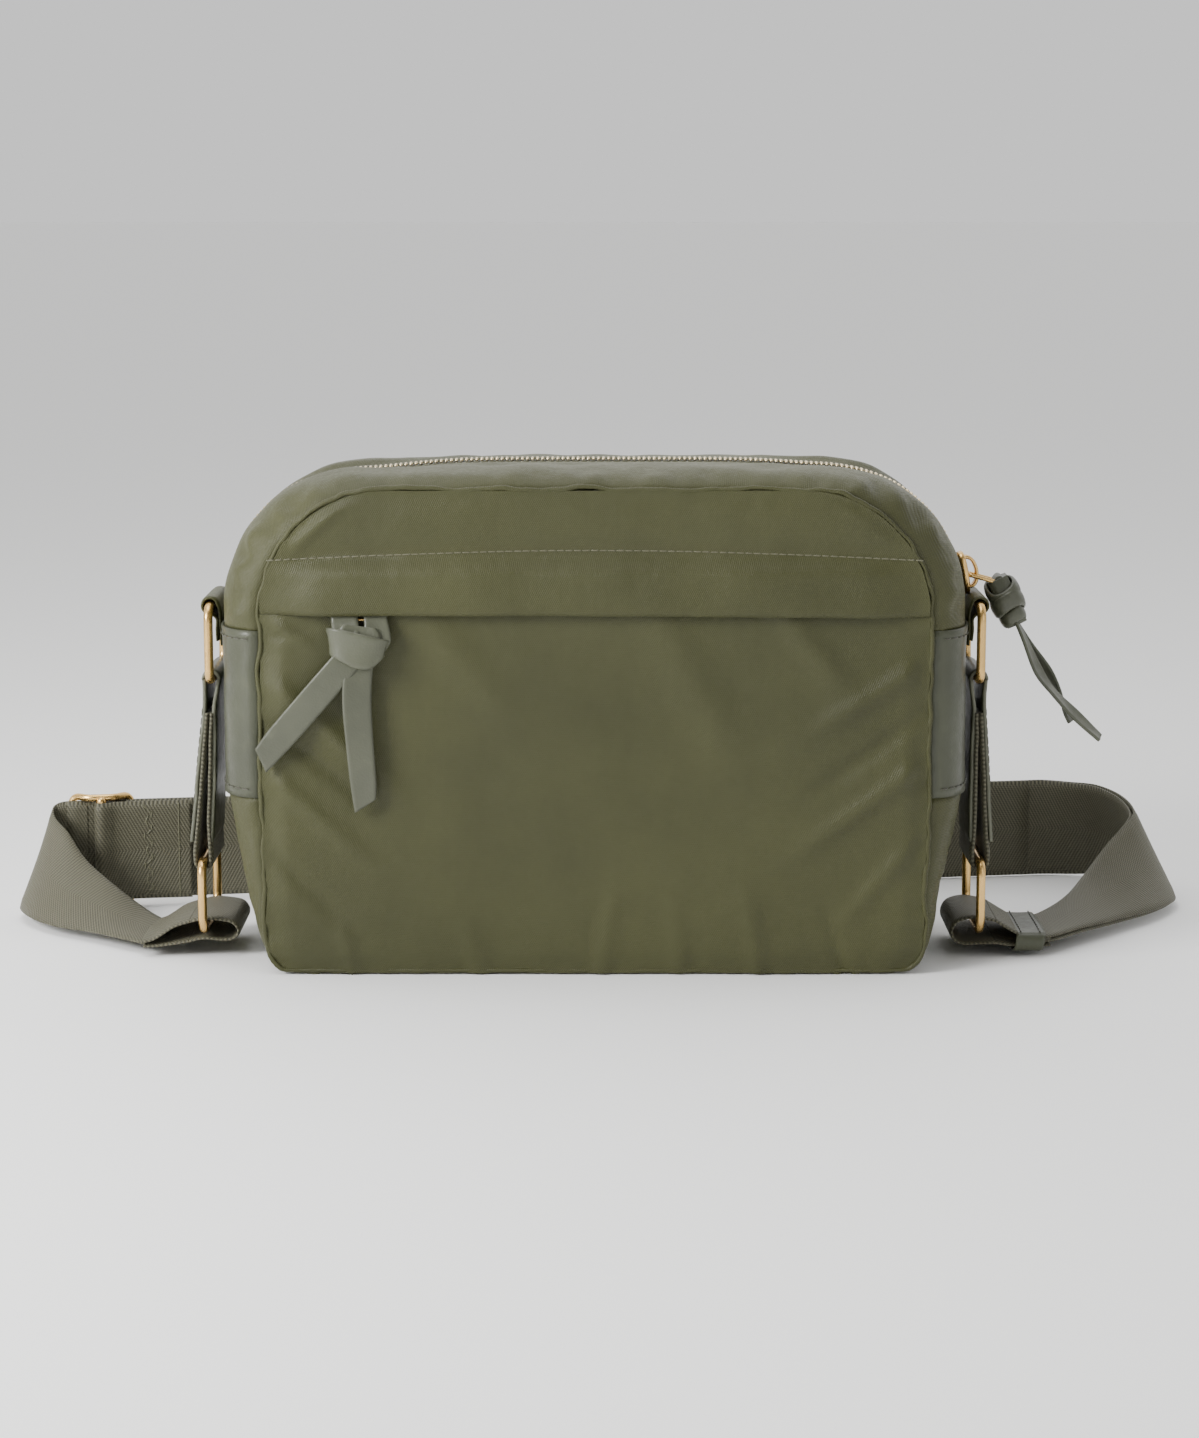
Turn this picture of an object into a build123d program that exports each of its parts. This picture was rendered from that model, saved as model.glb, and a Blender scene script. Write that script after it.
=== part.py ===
"""Crossbody purse: sewn nylon bag, leather hangers on metal rings, webbing strap. Millimetres, +Z up."""
from build123d import *
from math import cos, hypot, radians, sin
import os

os.makedirs("parts", exist_ok=True)

# Driving dimensions. The bag stands on Z=0, its front faces -Y, X=0 is its middle.
CLOTH = 1.2
HALF_DEPTH = 42.5
FLAT_HALF_DEPTH = 28.0
SEAM = dict(half=115.0, foot=114.0, top=169.0, top_radius=44.0, foot_radius=13.0)
CROWN = dict(half=130.0, foot=117.0, top=176.0, top_radius=50.0, foot_radius=16.0)
PATCH_LOW = 58.0
PATCH_HIGH = 119.0
PATCH_PROUD = 0.4
WELT = 1.6
LINING = 0.5

# Front pocket, its zip and the flap over it.
FLAP_LOW = 127.5
FLAP_SEWN = 147.5
FLAP_OUT = 5.5
ZIP_Z = 137.0
ZIP_HALF_LENGTH = 93.0
TEETH = 4.0
TAPE = 0.6
TAPE_WIDTH = 10.0
FRONT_SLIDER_X = -80.0

# Main zip, over the top of the gusset.
ARC_X = CROWN["half"] - CROWN["top_radius"]
ARC_Z = CROWN["top"] - CROWN["top_radius"]
ARC_RADIUS = CROWN["top_radius"]
MAIN_SLIDER_TURN = 11.0
MAIN_ZIP_LOW = 121.0
STRIP_INNER = 10.2

# Rings, loops and hangers at the bag's sides.
RING_WIRE = 3.2
RING_HALF_WIDTH = 21.5
RING_CORNER = 5.0
UPPER_RING_X = 135.4
UPPER_RING_LOW = 100.0
UPPER_RING_HIGH = 126.0
LOWER_RING_LOW = 10.0
LOWER_RING_HIGH = 34.5
LOWER_RING_X = {"left": 139.5, "right": 137.0}
RING_PLAY = 0.35
LOOP_HALF_WIDTH = 17.0
LEATHER = 1.5
HANGER_END = 42.0

# Strap.
STRAP_WIDTH = 38.0
STRAP = 1.3
LAYER_STEP = 1.6

SIDES = {"left": -1.0, "right": 1.0}
EVERY = (-400.0, 400.0)


def save(piece, name):
    """Label a finished piece and write its STEP file."""
    piece.part.label = name
    export_step(piece.part, f"parts/{name}.step")


def keep(x=EVERY, y=EVERY, z=EVERY, mode=Mode.INTERSECT):
    """Keep (or cut) what lies between pairs of limits."""
    limits = (x, y, z)
    middle = [(low + high) / 2 for low, high in limits]
    size = [high - low for low, high in limits]
    with Locations(tuple(middle)):
        Box(*size, mode=mode)


def about(middle, half):
    """Pair of limits half to each side of the middle."""
    return (middle - half, middle + half)


def outline(y, grow=0.0, shape_y=None):
    """Bag outline on the XZ plane at depth y: the seam shape at the faces, the crown shape between them."""
    depth = abs(y if shape_y is None else shape_y)
    share = max(0.0, depth - FLAT_HALF_DEPTH) / (HALF_DEPTH - FLAT_HALF_DEPTH)
    size = {key: CROWN[key] + (SEAM[key] - CROWN[key]) * share for key in SEAM}
    foot = size["foot"] + grow
    half = size["half"] + grow
    bottom = max(0.0, -grow)
    right = [(foot, bottom), (half, PATCH_LOW), (half, size["top"] + grow)]
    left = [(-x, z) for x, z in reversed(right)]
    with BuildSketch(Plane.XZ.offset(-y)) as shape:
        with BuildLine():
            Polyline(*right, *left, close=True)
        make_face()
        rows = shape.vertices().group_by(Axis.Y)
        fillet(rows[-1], size["top_radius"] + grow)
        rows = shape.vertices().group_by(Axis.Y)
        fillet(rows[0], size["foot_radius"] + grow)
    return shape.sketch.face()


def bag_loft(grow, end=HALF_DEPTH, mode=Mode.ADD):
    """Solid inside the bag's skin, between the two faces."""
    stations = (-end, -FLAT_HALF_DEPTH, FLAT_HALF_DEPTH, end)
    for start, stop in zip(stations, stations[1:]):
        loft([outline(start, grow), outline(stop, grow)], ruled=True, mode=mode)


def bag_skin(grow=0.0, thickness=CLOTH):
    """Skin of the gusset, open at the two faces."""
    bag_loft(grow)
    bag_loft(grow - thickness, mode=Mode.SUBTRACT)


def slab(y, reach, grow, shape_y, mode=Mode.ADD):
    """Slab on the bag's outline, from depth y to depth y + reach."""
    extrude(outline(y, grow, shape_y), amount=abs(reach), dir=(0, 1 if reach > 0 else -1, 0), mode=mode)


def face_plate(inner_y, thickness, grow=-0.2):
    """Flat plate on the seam outline, from depth inner_y outwards."""
    slab(inner_y, thickness if inner_y > 0 else -thickness, grow, HALF_DEPTH)


# ---- Bag faces ----
FACE = HALF_DEPTH + CLOTH

with BuildPart() as front_lower_panel:
    face_plate(-HALF_DEPTH, CLOTH)
    keep(z=(-1.0, 133.0))
save(front_lower_panel, "front_lower_panel")

with BuildPart() as back_panel:
    face_plate(HALF_DEPTH, CLOTH)
save(back_panel, "back_panel")

with BuildPart() as front_yoke_flap:
    flap_face = -FACE - FLAP_OUT
    with BuildSketch(Plane.YZ):
        with BuildLine():
            Polyline(
                (-HALF_DEPTH, 175.0),
                (-FACE, 175.0),
                (-FACE, FLAP_SEWN),
                (flap_face + 1.2, 143.0),
                (flap_face, FLAP_LOW),
                (flap_face + 1.0, FLAP_LOW),
                (flap_face + 2.2, 142.4),
                (-HALF_DEPTH, FLAP_SEWN - 0.8),
                close=True,
            )
        make_face()
    extrude(amount=120.0, both=True)
    slab(-HALF_DEPTH, -(CLOTH + FLAP_OUT + 1.0), -0.2, HALF_DEPTH, Mode.INTERSECT)
save(front_yoke_flap, "front_yoke_flap")

with BuildPart() as front_pocket_backing:
    face_plate(-HALF_DEPTH + 2.6, LINING, -3.0)
    keep(z=(6.0, 160.0))
save(front_pocket_backing, "front_pocket_backing")

WELT_GAP = 0.1
for name, way in (("front_welt", -1), ("back_welt", 1)):
    y, reach = way * (HALF_DEPTH + WELT_GAP), way * WELT
    with BuildPart() as welt:
        slab(y, reach, WELT, HALF_DEPTH)
        slab(y, reach, 0.0, HALF_DEPTH, Mode.SUBTRACT)
    save(welt, name)

# ---- Gusset ----
with BuildPart() as lower_gusset:
    bag_skin()
    keep(z=(-1.0, PATCH_LOW - 0.1))
save(lower_gusset, "lower_gusset")

for name, side in SIDES.items():
    with BuildPart() as side_patch:
        bag_skin(PATCH_PROUD, CLOTH + PATCH_PROUD)
        keep(x=tuple(sorted((side * 90.0, side * 200.0))), z=(PATCH_LOW, PATCH_HIGH))
    save(side_patch, f"side_patch_{name}")

for name, side in (("front", -1.0), ("back", 1.0)):
    with BuildPart() as zip_gusset:
        bag_skin()
        keep(y=tuple(sorted((side * STRIP_INNER, side * 60.0))), z=(PATCH_HIGH + 0.1, 200.0))
    save(zip_gusset, f"zip_gusset_{name}")


def arch(outer, inner, half_width, low):
    """Band that follows the crown outline over the top of the bag, down to the height low."""
    slab(-half_width, 2 * half_width, outer, 0.0)
    slab(-half_width, 2 * half_width, inner, 0.0, Mode.SUBTRACT)
    keep(z=(low, 200.0))


for name, side in (("front", -1.0), ("back", 1.0)):
    with BuildPart() as main_tape:
        arch(-0.3, -0.3 - TAPE, STRIP_INNER - 0.1, PATCH_HIGH + 0.1)
        keep(y=tuple(sorted((side * (TEETH / 2 + 0.1), side * 60.0))))
    save(main_tape, f"main_zip_tape_{name}")

with BuildPart() as main_zip_chain:
    arch(0.6, -1.2, TEETH / 2, MAIN_ZIP_LOW + 2.2)
save(main_zip_chain, "main_zip_chain")

with BuildPart() as main_zip_stops:
    arch(0.7, -1.3, TEETH / 2 + 0.05, MAIN_ZIP_LOW)
    keep(z=(MAIN_ZIP_LOW, MAIN_ZIP_LOW + 2.0))
save(main_zip_stops, "main_zip_stops")

# ---- Inside the bag ----
BOARD = 1.5
BOARD_LENGTH = 196.0
BOARD_WIDTH = 72.0
SLIP_POCKET_WIDTH = 150.0
SLIP_POCKET_HEIGHT = 90.0
SLIP_POCKET_MIDDLE = 62.0
with BuildPart() as base_board:
    with BuildSketch(Plane.XY.offset(CLOTH + 0.1)):
        RectangleRounded(BOARD_LENGTH, BOARD_WIDTH, 8.0)
    extrude(amount=BOARD)
save(base_board, "base_board")

with BuildPart() as lining:
    bag_loft(-3.0, HALF_DEPTH - 3.5)
    bag_loft(-3.0 - LINING, HALF_DEPTH - 3.5 - LINING, Mode.SUBTRACT)
    keep(y=(-STRIP_INNER, STRIP_INNER), z=(PATCH_HIGH, 200.0), mode=Mode.SUBTRACT)
save(lining, "lining")

with BuildPart() as inner_slip_pocket:
    with BuildSketch(Plane.XZ.offset(-HALF_DEPTH + 5.0)):
        with Locations((0, SLIP_POCKET_MIDDLE)):
            RectangleRounded(SLIP_POCKET_WIDTH, SLIP_POCKET_HEIGHT, 8.0)
    extrude(amount=LINING)
save(inner_slip_pocket, "inner_slip_pocket")

# ---- Front pocket zip ----
TAPE_Y = -HALF_DEPTH + 0.1
for name, low, high in (
    ("lower", ZIP_Z - TEETH / 2 - TAPE_WIDTH, ZIP_Z - TEETH / 2 - 0.1),
    ("upper", ZIP_Z + TEETH / 2 + 0.1, ZIP_Z + TEETH / 2 + TAPE_WIDTH),
):
    with BuildPart() as front_tape:
        with Locations((0, TAPE_Y + TAPE / 2, (low + high) / 2)):
            Box(2 * ZIP_HALF_LENGTH + 16.0, TAPE, high - low)
    save(front_tape, f"front_zip_tape_{name}")

with BuildPart() as front_zip_chain:
    with Locations((0, TAPE_Y - 0.2, ZIP_Z)):
        Box(2 * ZIP_HALF_LENGTH, 1.4, TEETH)
save(front_zip_chain, "front_zip_chain")

with BuildPart() as front_zip_stops:
    stop_x = ZIP_HALF_LENGTH + 1.2
    with Locations((-stop_x, TAPE_Y - 0.2, ZIP_Z), (stop_x, TAPE_Y - 0.2, ZIP_Z)):
        Box(2.0, 1.6, TEETH)
save(front_zip_stops, "front_zip_stops")

SLIDER_LENGTH = 11.0
SLIDER_HALF_HEIGHT = 3.6
SLIDER_FACE_Y = -45.2
SLIDER_BACK_Y = -40.9
BRIDGE_TOP_Y = -47.2
LINK_WIRE = 1.0
FRONT_BRIDGE_Y = -46.0
with BuildPart() as front_zip_slider:
    keep(
        x=about(FRONT_SLIDER_X, SLIDER_LENGTH / 2),
        y=(SLIDER_FACE_Y, SLIDER_BACK_Y),
        z=about(ZIP_Z, SLIDER_HALF_HEIGHT),
        mode=Mode.ADD,
    )
    fillet(front_zip_slider.edges().filter_by(Axis.Y), 2.0)
    keep(y=(-43.6, -41.4), z=about(ZIP_Z, TEETH / 2 + 0.5), mode=Mode.SUBTRACT)
    keep(y=(-42.7, -41.4), mode=Mode.SUBTRACT)
    for half_x, top, half_z, mode in ((0.8, 0.0, 2.4, Mode.ADD), (0.9, 0.6, 1.6, Mode.SUBTRACT)):
        keep(
            x=about(FRONT_SLIDER_X, half_x),
            y=(BRIDGE_TOP_Y + top, SLIDER_FACE_Y),
            z=about(ZIP_Z, half_z),
            mode=mode,
        )
save(front_zip_slider, "front_zip_slider")


def wire_link(plane, length, width, wire):
    """Rounded wire loop whose first bar is at the plane's origin and whose length runs along the plane's X."""
    with BuildSketch(plane.offset(-wire / 2)) as loop:
        with Locations((length / 2, 0)):
            RectangleRounded(length + wire, width + wire, wire * 1.2)
            RectangleRounded(length - wire, width - wire, wire * 0.45, mode=Mode.SUBTRACT)
    extrude(loop.sketch, amount=wire)


PULL_Z = 125.2
PULL_Y = -46.9
LINK_PLAY = 0.3
FRONT_KNOT_Y = -49.3
FRONT_KNOT_Z = 116.6
FRONT_KNOT_DEPTH = 7.2
FRONT_KNOT_HEIGHT = 13.2
FRONT_KNOT_HALF_WIDTH = 9.0
front_link_drop = hypot(ZIP_Z - PULL_Z, PULL_Y - FRONT_BRIDGE_Y)
front_link_plane = Plane(
    origin=(FRONT_SLIDER_X, FRONT_BRIDGE_Y, ZIP_Z),
    x_dir=(0, PULL_Y - FRONT_BRIDGE_Y, PULL_Z - ZIP_Z),
    z_dir=(0, -(ZIP_Z - PULL_Z), -(PULL_Y - FRONT_BRIDGE_Y)),
)
with BuildPart() as front_zip_link:
    wire_link(front_link_plane, front_link_drop, 8.0, LINK_WIRE)
save(front_zip_link, "front_zip_link")

with BuildPart() as front_pull_knot:
    with BuildSketch(Plane.YZ.offset(FRONT_SLIDER_X)):
        with Locations((PULL_Y, PULL_Z)):
            Circle(LINK_WIRE / 2 + LINK_PLAY + 1.0)
        with Locations((FRONT_KNOT_Y, FRONT_KNOT_Z)):
            RectangleRounded(FRONT_KNOT_DEPTH, FRONT_KNOT_HEIGHT, 3.0)
        with Locations((PULL_Y - 0.2, PULL_Z - 3.0)):
            Rectangle(2.4, 5.0)
        with Locations((PULL_Y, PULL_Z)):
            Circle(LINK_WIRE / 2 + LINK_PLAY, mode=Mode.SUBTRACT)
    extrude(amount=3.2, both=True)
    with BuildSketch(Plane.YZ.offset(FRONT_SLIDER_X)):
        with Locations((FRONT_KNOT_Y, FRONT_KNOT_Z)):
            RectangleRounded(FRONT_KNOT_DEPTH, FRONT_KNOT_HEIGHT, 3.0)
    extrude(amount=FRONT_KNOT_HALF_WIDTH, both=True)
save(front_pull_knot, "front_pull_knot")

TAIL = 1.4
TAIL_DEPTH = 45.0
TAILS = (
    ((-79.0, 109.6), (-90.0, 109.6), (-117.0, 79.0), (-114.0, 71.5)),
    ((-76.4, 109.6), (-85.5, 109.6), (-79.6, 57.5), (-73.0, 63.5)),
)
with BuildPart() as front_pull_tails:
    for i, corners in enumerate(TAILS):
        with BuildSketch(Plane.XZ.offset(TAIL_DEPTH + i * (TAIL + 0.2))):
            with BuildLine():
                Polyline(*corners, close=True)
            make_face()
        extrude(amount=TAIL)
save(front_pull_tails, "front_pull_tails")

# ---- Main zip slider and pull ----
TURN = radians(MAIN_SLIDER_TURN)
radial = Vector(cos(TURN), 0, sin(TURN))
along = Vector(-sin(TURN), 0, cos(TURN))
arc_centre = Vector(ARC_X, 0, ARC_Z)
slider_plane = Plane(origin=arc_centre + radial * ARC_RADIUS, x_dir=along, z_dir=radial)
SLIDER_TOP = 2.4
SLIDER_BASE = -2.6


def arc_channel(low, high, half_width):
    """Cut the curved way of the zip through its slider."""
    with BuildSketch(Plane.XZ) as way:
        with Locations((ARC_X, ARC_Z)):
            Circle(ARC_RADIUS + high)
            Circle(ARC_RADIUS + low, mode=Mode.SUBTRACT)
    extrude(way.sketch, amount=half_width, both=True, mode=Mode.SUBTRACT)


with BuildPart() as main_zip_slider:
    with BuildSketch(slider_plane.offset(SLIDER_BASE)):
        RectangleRounded(12.0, 8.4, 2.2)
    extrude(amount=SLIDER_TOP - SLIDER_BASE)
    arc_channel(-1.7, 1.1, TEETH / 2 + 0.6)
    arc_channel(-1.7, 0.2, 6.0)
    with BuildSketch(slider_plane.offset(SLIDER_TOP)):
        Rectangle(6.4, 2.0)
    extrude(amount=3.0)
    with BuildSketch(slider_plane.offset(SLIDER_TOP)):
        Rectangle(4.4, 2.2)
    extrude(amount=2.0, mode=Mode.SUBTRACT)
save(main_zip_slider, "main_zip_slider")

MAIN_PULL_RISE = 3.6
main_pull_pivot = arc_centre + radial * (ARC_RADIUS + MAIN_PULL_RISE) - along * 0.8
KNOT = Vector(147.0, 0, 125.3)
KNOT_LEAN = 25.0
knot_top = Vector(143.4, 0, 132.6)
link_way = knot_top - main_pull_pivot
main_link_plane = Plane(origin=main_pull_pivot, x_dir=link_way, z_dir=link_way.cross(Vector(0, 1, 0)))
with BuildPart() as main_zip_link:
    wire_link(main_link_plane, link_way.length, 5.6, LINK_WIRE)
save(main_zip_link, "main_zip_link")

with BuildPart() as main_pull_knot:
    with BuildSketch(Plane.XZ):
        with Locations((knot_top.X, knot_top.Z)):
            Circle(LINK_WIRE / 2 + 1.3)
        with Locations(Location((KNOT.X, KNOT.Z), KNOT_LEAN)):
            RectangleRounded(9.6, 15.0, 3.0)
        with Locations((knot_top.X, knot_top.Z)):
            Circle(LINK_WIRE / 2 + LINK_PLAY, mode=Mode.SUBTRACT)
    extrude(amount=2.2, both=True)
    with BuildSketch(Plane.XZ):
        with Locations(Location((KNOT.X + 0.5, KNOT.Z - 1.2), KNOT_LEAN)):
            RectangleRounded(9.2, 12.0, 3.0)
    extrude(amount=6.5, both=True)
save(main_pull_knot, "main_pull_knot")

TAIL_WIDTH = 6.0
TAIL_START = ((150.2, 117.8), (151.6, 118.4))
MAIN_TAILS = (
    (-4.0, ((161.0, 95.0), (162.3, 95.7)), ((180.5, 76.0), (181.7, 76.9))),
    (3.0, ((165.0, 97.0), (166.3, 97.7)), ((177.5, 79.0), (178.7, 79.9))),
)
with BuildPart() as main_pull_tails:
    for y, knee, tip in MAIN_TAILS:
        with BuildSketch(Plane.XZ.offset(TAIL_WIDTH / 2 - y)):
            with BuildLine():
                Polyline(TAIL_START[0], knee[0], tip[0], tip[1], knee[1], TAIL_START[1], close=True)
            make_face()
        extrude(amount=-TAIL_WIDTH)
save(main_pull_tails, "main_pull_tails")


# ---- Rings, side loops and hangers ----
def ring(x, low, high):
    """Rectangular ring of round wire in a YZ plane; low and high are the heights of its two bars."""
    with BuildSketch(Plane.YZ.offset(x - RING_WIRE / 2)) as frame:
        with Locations((0, (low + high) / 2)):
            for wire, mode in ((RING_WIRE, Mode.ADD), (-RING_WIRE, Mode.SUBTRACT)):
                RectangleRounded(
                    2 * RING_HALF_WIDTH + wire, high - low + wire, RING_CORNER + wire / 2, mode=mode
                )
    extrude(frame.sketch, amount=RING_WIRE)


EYE = RING_WIRE / 2 + RING_PLAY


def wire_ring(x, low, high):
    """Ring with its edges rounded to wire."""
    with BuildPart() as metal:
        ring(x, low, high)
        fillet(metal.edges(), RING_WIRE / 2 - 0.05)
    return metal


def bar_eye(x, z):
    """Cut the round way of a ring's bar."""
    with Locations((x, z)):
        Circle(EYE, mode=Mode.SUBTRACT)


for name, side in SIDES.items():
    upper_x = side * UPPER_RING_X
    lower_x = side * LOWER_RING_X[name]
    save(wire_ring(upper_x, UPPER_RING_LOW, UPPER_RING_HIGH), f"upper_ring_{name}")
    save(wire_ring(lower_x, LOWER_RING_LOW, LOWER_RING_HIGH), f"lower_ring_{name}")

    bag_side = side * (CROWN["half"] + 0.8)
    with BuildPart() as side_loop:
        with BuildSketch(Plane.XZ):
            with Locations((upper_x, UPPER_RING_HIGH)):
                Circle(EYE + LEATHER)
            with BuildLine():
                Polyline(
                    (bag_side, PATCH_HIGH - 4.0),
                    (bag_side + side * 1.6, PATCH_HIGH - 4.0),
                    (upper_x - side * 0.8, UPPER_RING_HIGH - EYE - 0.8),
                    (upper_x - side * 2.4, UPPER_RING_HIGH + 2.2),
                    (bag_side, UPPER_RING_HIGH - 2.0),
                    close=True,
                )
            make_face()
            bar_eye(upper_x, UPPER_RING_HIGH)
        extrude(amount=LOOP_HALF_WIDTH, both=True)
    save(side_loop, f"side_loop_{name}")

    drift = lower_x - upper_x
    PINCH = UPPER_RING_LOW - 8.0

    def line_x(z):
        """Middle line of the hanger at height z."""
        return upper_x + drift * (UPPER_RING_LOW - z) / (UPPER_RING_LOW - HANGER_END)

    with BuildPart() as hanger_leather:
        with BuildSketch(Plane.XZ):
            with BuildLine():
                Polyline(
                    (upper_x - EYE - LEATHER, UPPER_RING_LOW),
                    (line_x(PINCH) - 2.6, PINCH),
                    (line_x(HANGER_END) - 4.0, HANGER_END),
                    (line_x(HANGER_END) + 4.0, HANGER_END),
                    (line_x(PINCH) + 2.6, PINCH),
                    (upper_x + EYE + LEATHER, UPPER_RING_LOW),
                    close=True,
                )
            make_face()
            with Locations((upper_x, UPPER_RING_LOW)):
                Circle(EYE + LEATHER)
            with BuildLine():
                Polyline(
                    (line_x(PINCH - 2.0) - 1.1, PINCH - 2.0),
                    (line_x(HANGER_END) - 2.5, HANGER_END),
                    (line_x(HANGER_END) - 2.5, HANGER_END - 5.0),
                    (line_x(HANGER_END) + 2.5, HANGER_END - 5.0),
                    (line_x(HANGER_END) + 2.5, HANGER_END),
                    (line_x(PINCH - 2.0) + 1.1, PINCH - 2.0),
                    close=True,
                )
            make_face(mode=Mode.SUBTRACT)
            bar_eye(upper_x, UPPER_RING_LOW)
        extrude(amount=LOOP_HALF_WIDTH, both=True)
    save(hanger_leather, f"hanger_leather_{name}")

    with BuildPart() as hanger_webbing:
        with BuildSketch(Plane.XZ):
            with BuildLine():
                Polyline(
                    (line_x(PINCH - 2.5) - 1.0, PINCH - 2.5),
                    (line_x(HANGER_END) - 2.4, HANGER_END),
                    (lower_x - EYE - STRAP, LOWER_RING_HIGH),
                    (lower_x + EYE + STRAP, LOWER_RING_HIGH),
                    (line_x(HANGER_END) + 2.4, HANGER_END),
                    (line_x(PINCH - 2.5) + 1.0, PINCH - 2.5),
                    close=True,
                )
            make_face()
            with Locations((lower_x, LOWER_RING_HIGH)):
                Circle(EYE + STRAP)
            bar_eye(lower_x, LOWER_RING_HIGH)
        extrude(amount=LOOP_HALF_WIDTH, both=True)
    save(hanger_webbing, f"hanger_webbing_{name}")


# ---- Strap: a ribbon given by its lower (or front) edge and its upper (or back) edge ----
def ribbon(edges, shift=0.0, width=STRAP_WIDTH):
    """Flat band through pairs of edge points, shifted off its middle surface by shift."""
    middles = [(Vector(*low) + Vector(*high)) / 2 for low, high in edges]
    across = [(Vector(*high) - Vector(*low)).normalized() for low, high in edges]
    sections = []
    for i, (middle, side_way) in enumerate(zip(middles, across)):
        ahead = middles[min(i + 1, len(middles) - 1)]
        behind = middles[max(i - 1, 0)]
        way = ahead - behind
        way = (way - side_way * way.dot(side_way)).normalized()
        with BuildSketch(Plane(origin=middle, x_dir=side_way, z_dir=way)) as section:
            with Locations((0, shift)):
                Rectangle(width, STRAP)
        sections.append(section.sketch.face())
    loft(sections, ruled=True)


BAND_START = Vector(-201.0, 60.0, 0.0)
BAND_WAY = Vector(0.9887, 0.150, 0.0).normalized()
BAND_END = 378.0
BAND_LIFT = 3.1
INNER_START = 17.5
LEFT_EYE_END = -160.0
RIGHT_EYE_END = 163.0


def band(s, lift):
    """Edges of the upright band behind the bag, at the distance s from its left end."""
    foot = BAND_START + BAND_WAY * s + Vector(0, 0, lift)
    head = foot + Vector(0, 0, STRAP_WIDTH)
    return (tuple(foot), tuple(head))


LEFT_EDGES = [
    ((LEFT_EYE_END, -19.0, 1.0), (LEFT_EYE_END, 19.0, 1.0)),
    ((-171.0, -15.0, 1.0), (-166.0, 22.0, 4.0)),
    ((-183.0, -5.0, 1.0), (-177.0, 29.0, 13.0)),
    ((-199.0, 9.0, 1.0), (-190.0, 38.0, 24.0)),
    ((-212.0, 27.0, 1.0), (-200.0, 45.0, 33.0)),
    ((-218.5, 44.0, 1.2), (-207.0, 53.0, 37.0)),
    ((-215.5, 57.0, 2.0), (-208.5, 59.0, 39.5)),
]
RIGHT_EDGES = [
    band(BAND_END + 0.2, 0.2),
    band(BAND_END + 6.0, 0.2),
    ((190.0, 116.6, 0.6), (188.0, 113.5, 38.2)),
    ((203.0, 112.0, 1.4), (197.0, 106.0, 38.2)),
    ((215.0, 97.0, 1.8), (204.0, 94.0, 36.5)),
    ((221.0, 76.0, 2.0), (206.5, 80.0, 34.0)),
    ((219.5, 58.0, 2.0), (204.0, 71.0, 31.0)),
    ((209.0, 34.0, 2.0), (195.0, 60.0, 24.0)),
    ((192.0, 12.0, 2.0), (184.0, 46.0, 12.5)),
    ((176.0, -6.0, 2.8), (174.0, 31.0, 6.0)),
    ((RIGHT_EYE_END, -17.0, 3.9), (RIGHT_EYE_END, 21.0, 3.9)),
]
BACK_EDGES = [band(150.0, BAND_LIFT), band(220.0, 0.2), band(BAND_END, 0.2)]

with BuildPart() as strap_left_run:
    ribbon(LEFT_EDGES + [band(-1.0, BAND_LIFT)])
save(strap_left_run, "strap_left_run")
with BuildPart() as strap_back_run:
    ribbon([band(-0.9, BAND_LIFT)] + BACK_EDGES)
save(strap_back_run, "strap_back_run")
with BuildPart() as strap_inner_layer:
    ribbon([band(INNER_START, BAND_LIFT)] + BACK_EDGES, LAYER_STEP)
save(strap_inner_layer, "strap_inner_layer")
with BuildPart() as strap_right_run:
    ribbon(RIGHT_EDGES)
save(strap_right_run, "strap_right_run")
with BuildPart() as strap_right_inner:
    ribbon(RIGHT_EDGES, LAYER_STEP)
save(strap_right_inner, "strap_right_inner")

# The strap's two ends, round the lower bars of the lower rings.
left_bar = -LOWER_RING_X["left"]
with BuildPart() as strap_left_end:
    with BuildSketch(Plane.XZ):
        with BuildLine():
            Polyline(
                (left_bar, LOWER_RING_LOW - EYE - STRAP),
                (left_bar - 9.0, 0.5),
                (LEFT_EYE_END + 0.4, 0.35),
                (LEFT_EYE_END + 0.4, 3.0),
                (left_bar - 9.5, 3.4),
                (left_bar - 2.4, LOWER_RING_LOW + 2.2),
                close=True,
            )
        make_face()
        with Locations((left_bar, LOWER_RING_LOW)):
            Circle(EYE + STRAP)
        bar_eye(left_bar, LOWER_RING_LOW)
    extrude(amount=LOOP_HALF_WIDTH, both=True)
save(strap_left_end, "strap_left_end")

right_bar = LOWER_RING_X["right"]
with BuildPart() as strap_right_end:
    with BuildSketch(Plane.XZ):
        with BuildLine():
            Polyline(
                (right_bar, LOWER_RING_LOW - EYE - STRAP),
                (right_bar + 9.0, 1.5),
                (RIGHT_EYE_END - 0.1, 1.5),
                (RIGHT_EYE_END - 0.1, 4.8),
                (right_bar + 10.0, 4.9),
                (right_bar + 2.4, LOWER_RING_LOW + 2.2),
                close=True,
            )
        make_face()
        with Locations((right_bar, LOWER_RING_LOW)):
            Circle(EYE + STRAP)
        bar_eye(right_bar, LOWER_RING_LOW)
    extrude(amount=LOOP_HALF_WIDTH, both=True)
save(strap_right_end, "strap_right_end")

KEEPER_START = 149.5
KEEPER_END = 160.5
with BuildPart() as strap_keeper:
    keep(x=(KEEPER_START, KEEPER_END), y=(-20.6, 20.6), z=(0.1, 6.3), mode=Mode.ADD)
    keep(y=(-19.4, 19.4), z=(1.2, 5.2), mode=Mode.SUBTRACT)
save(strap_keeper, "strap_keeper")

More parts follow.
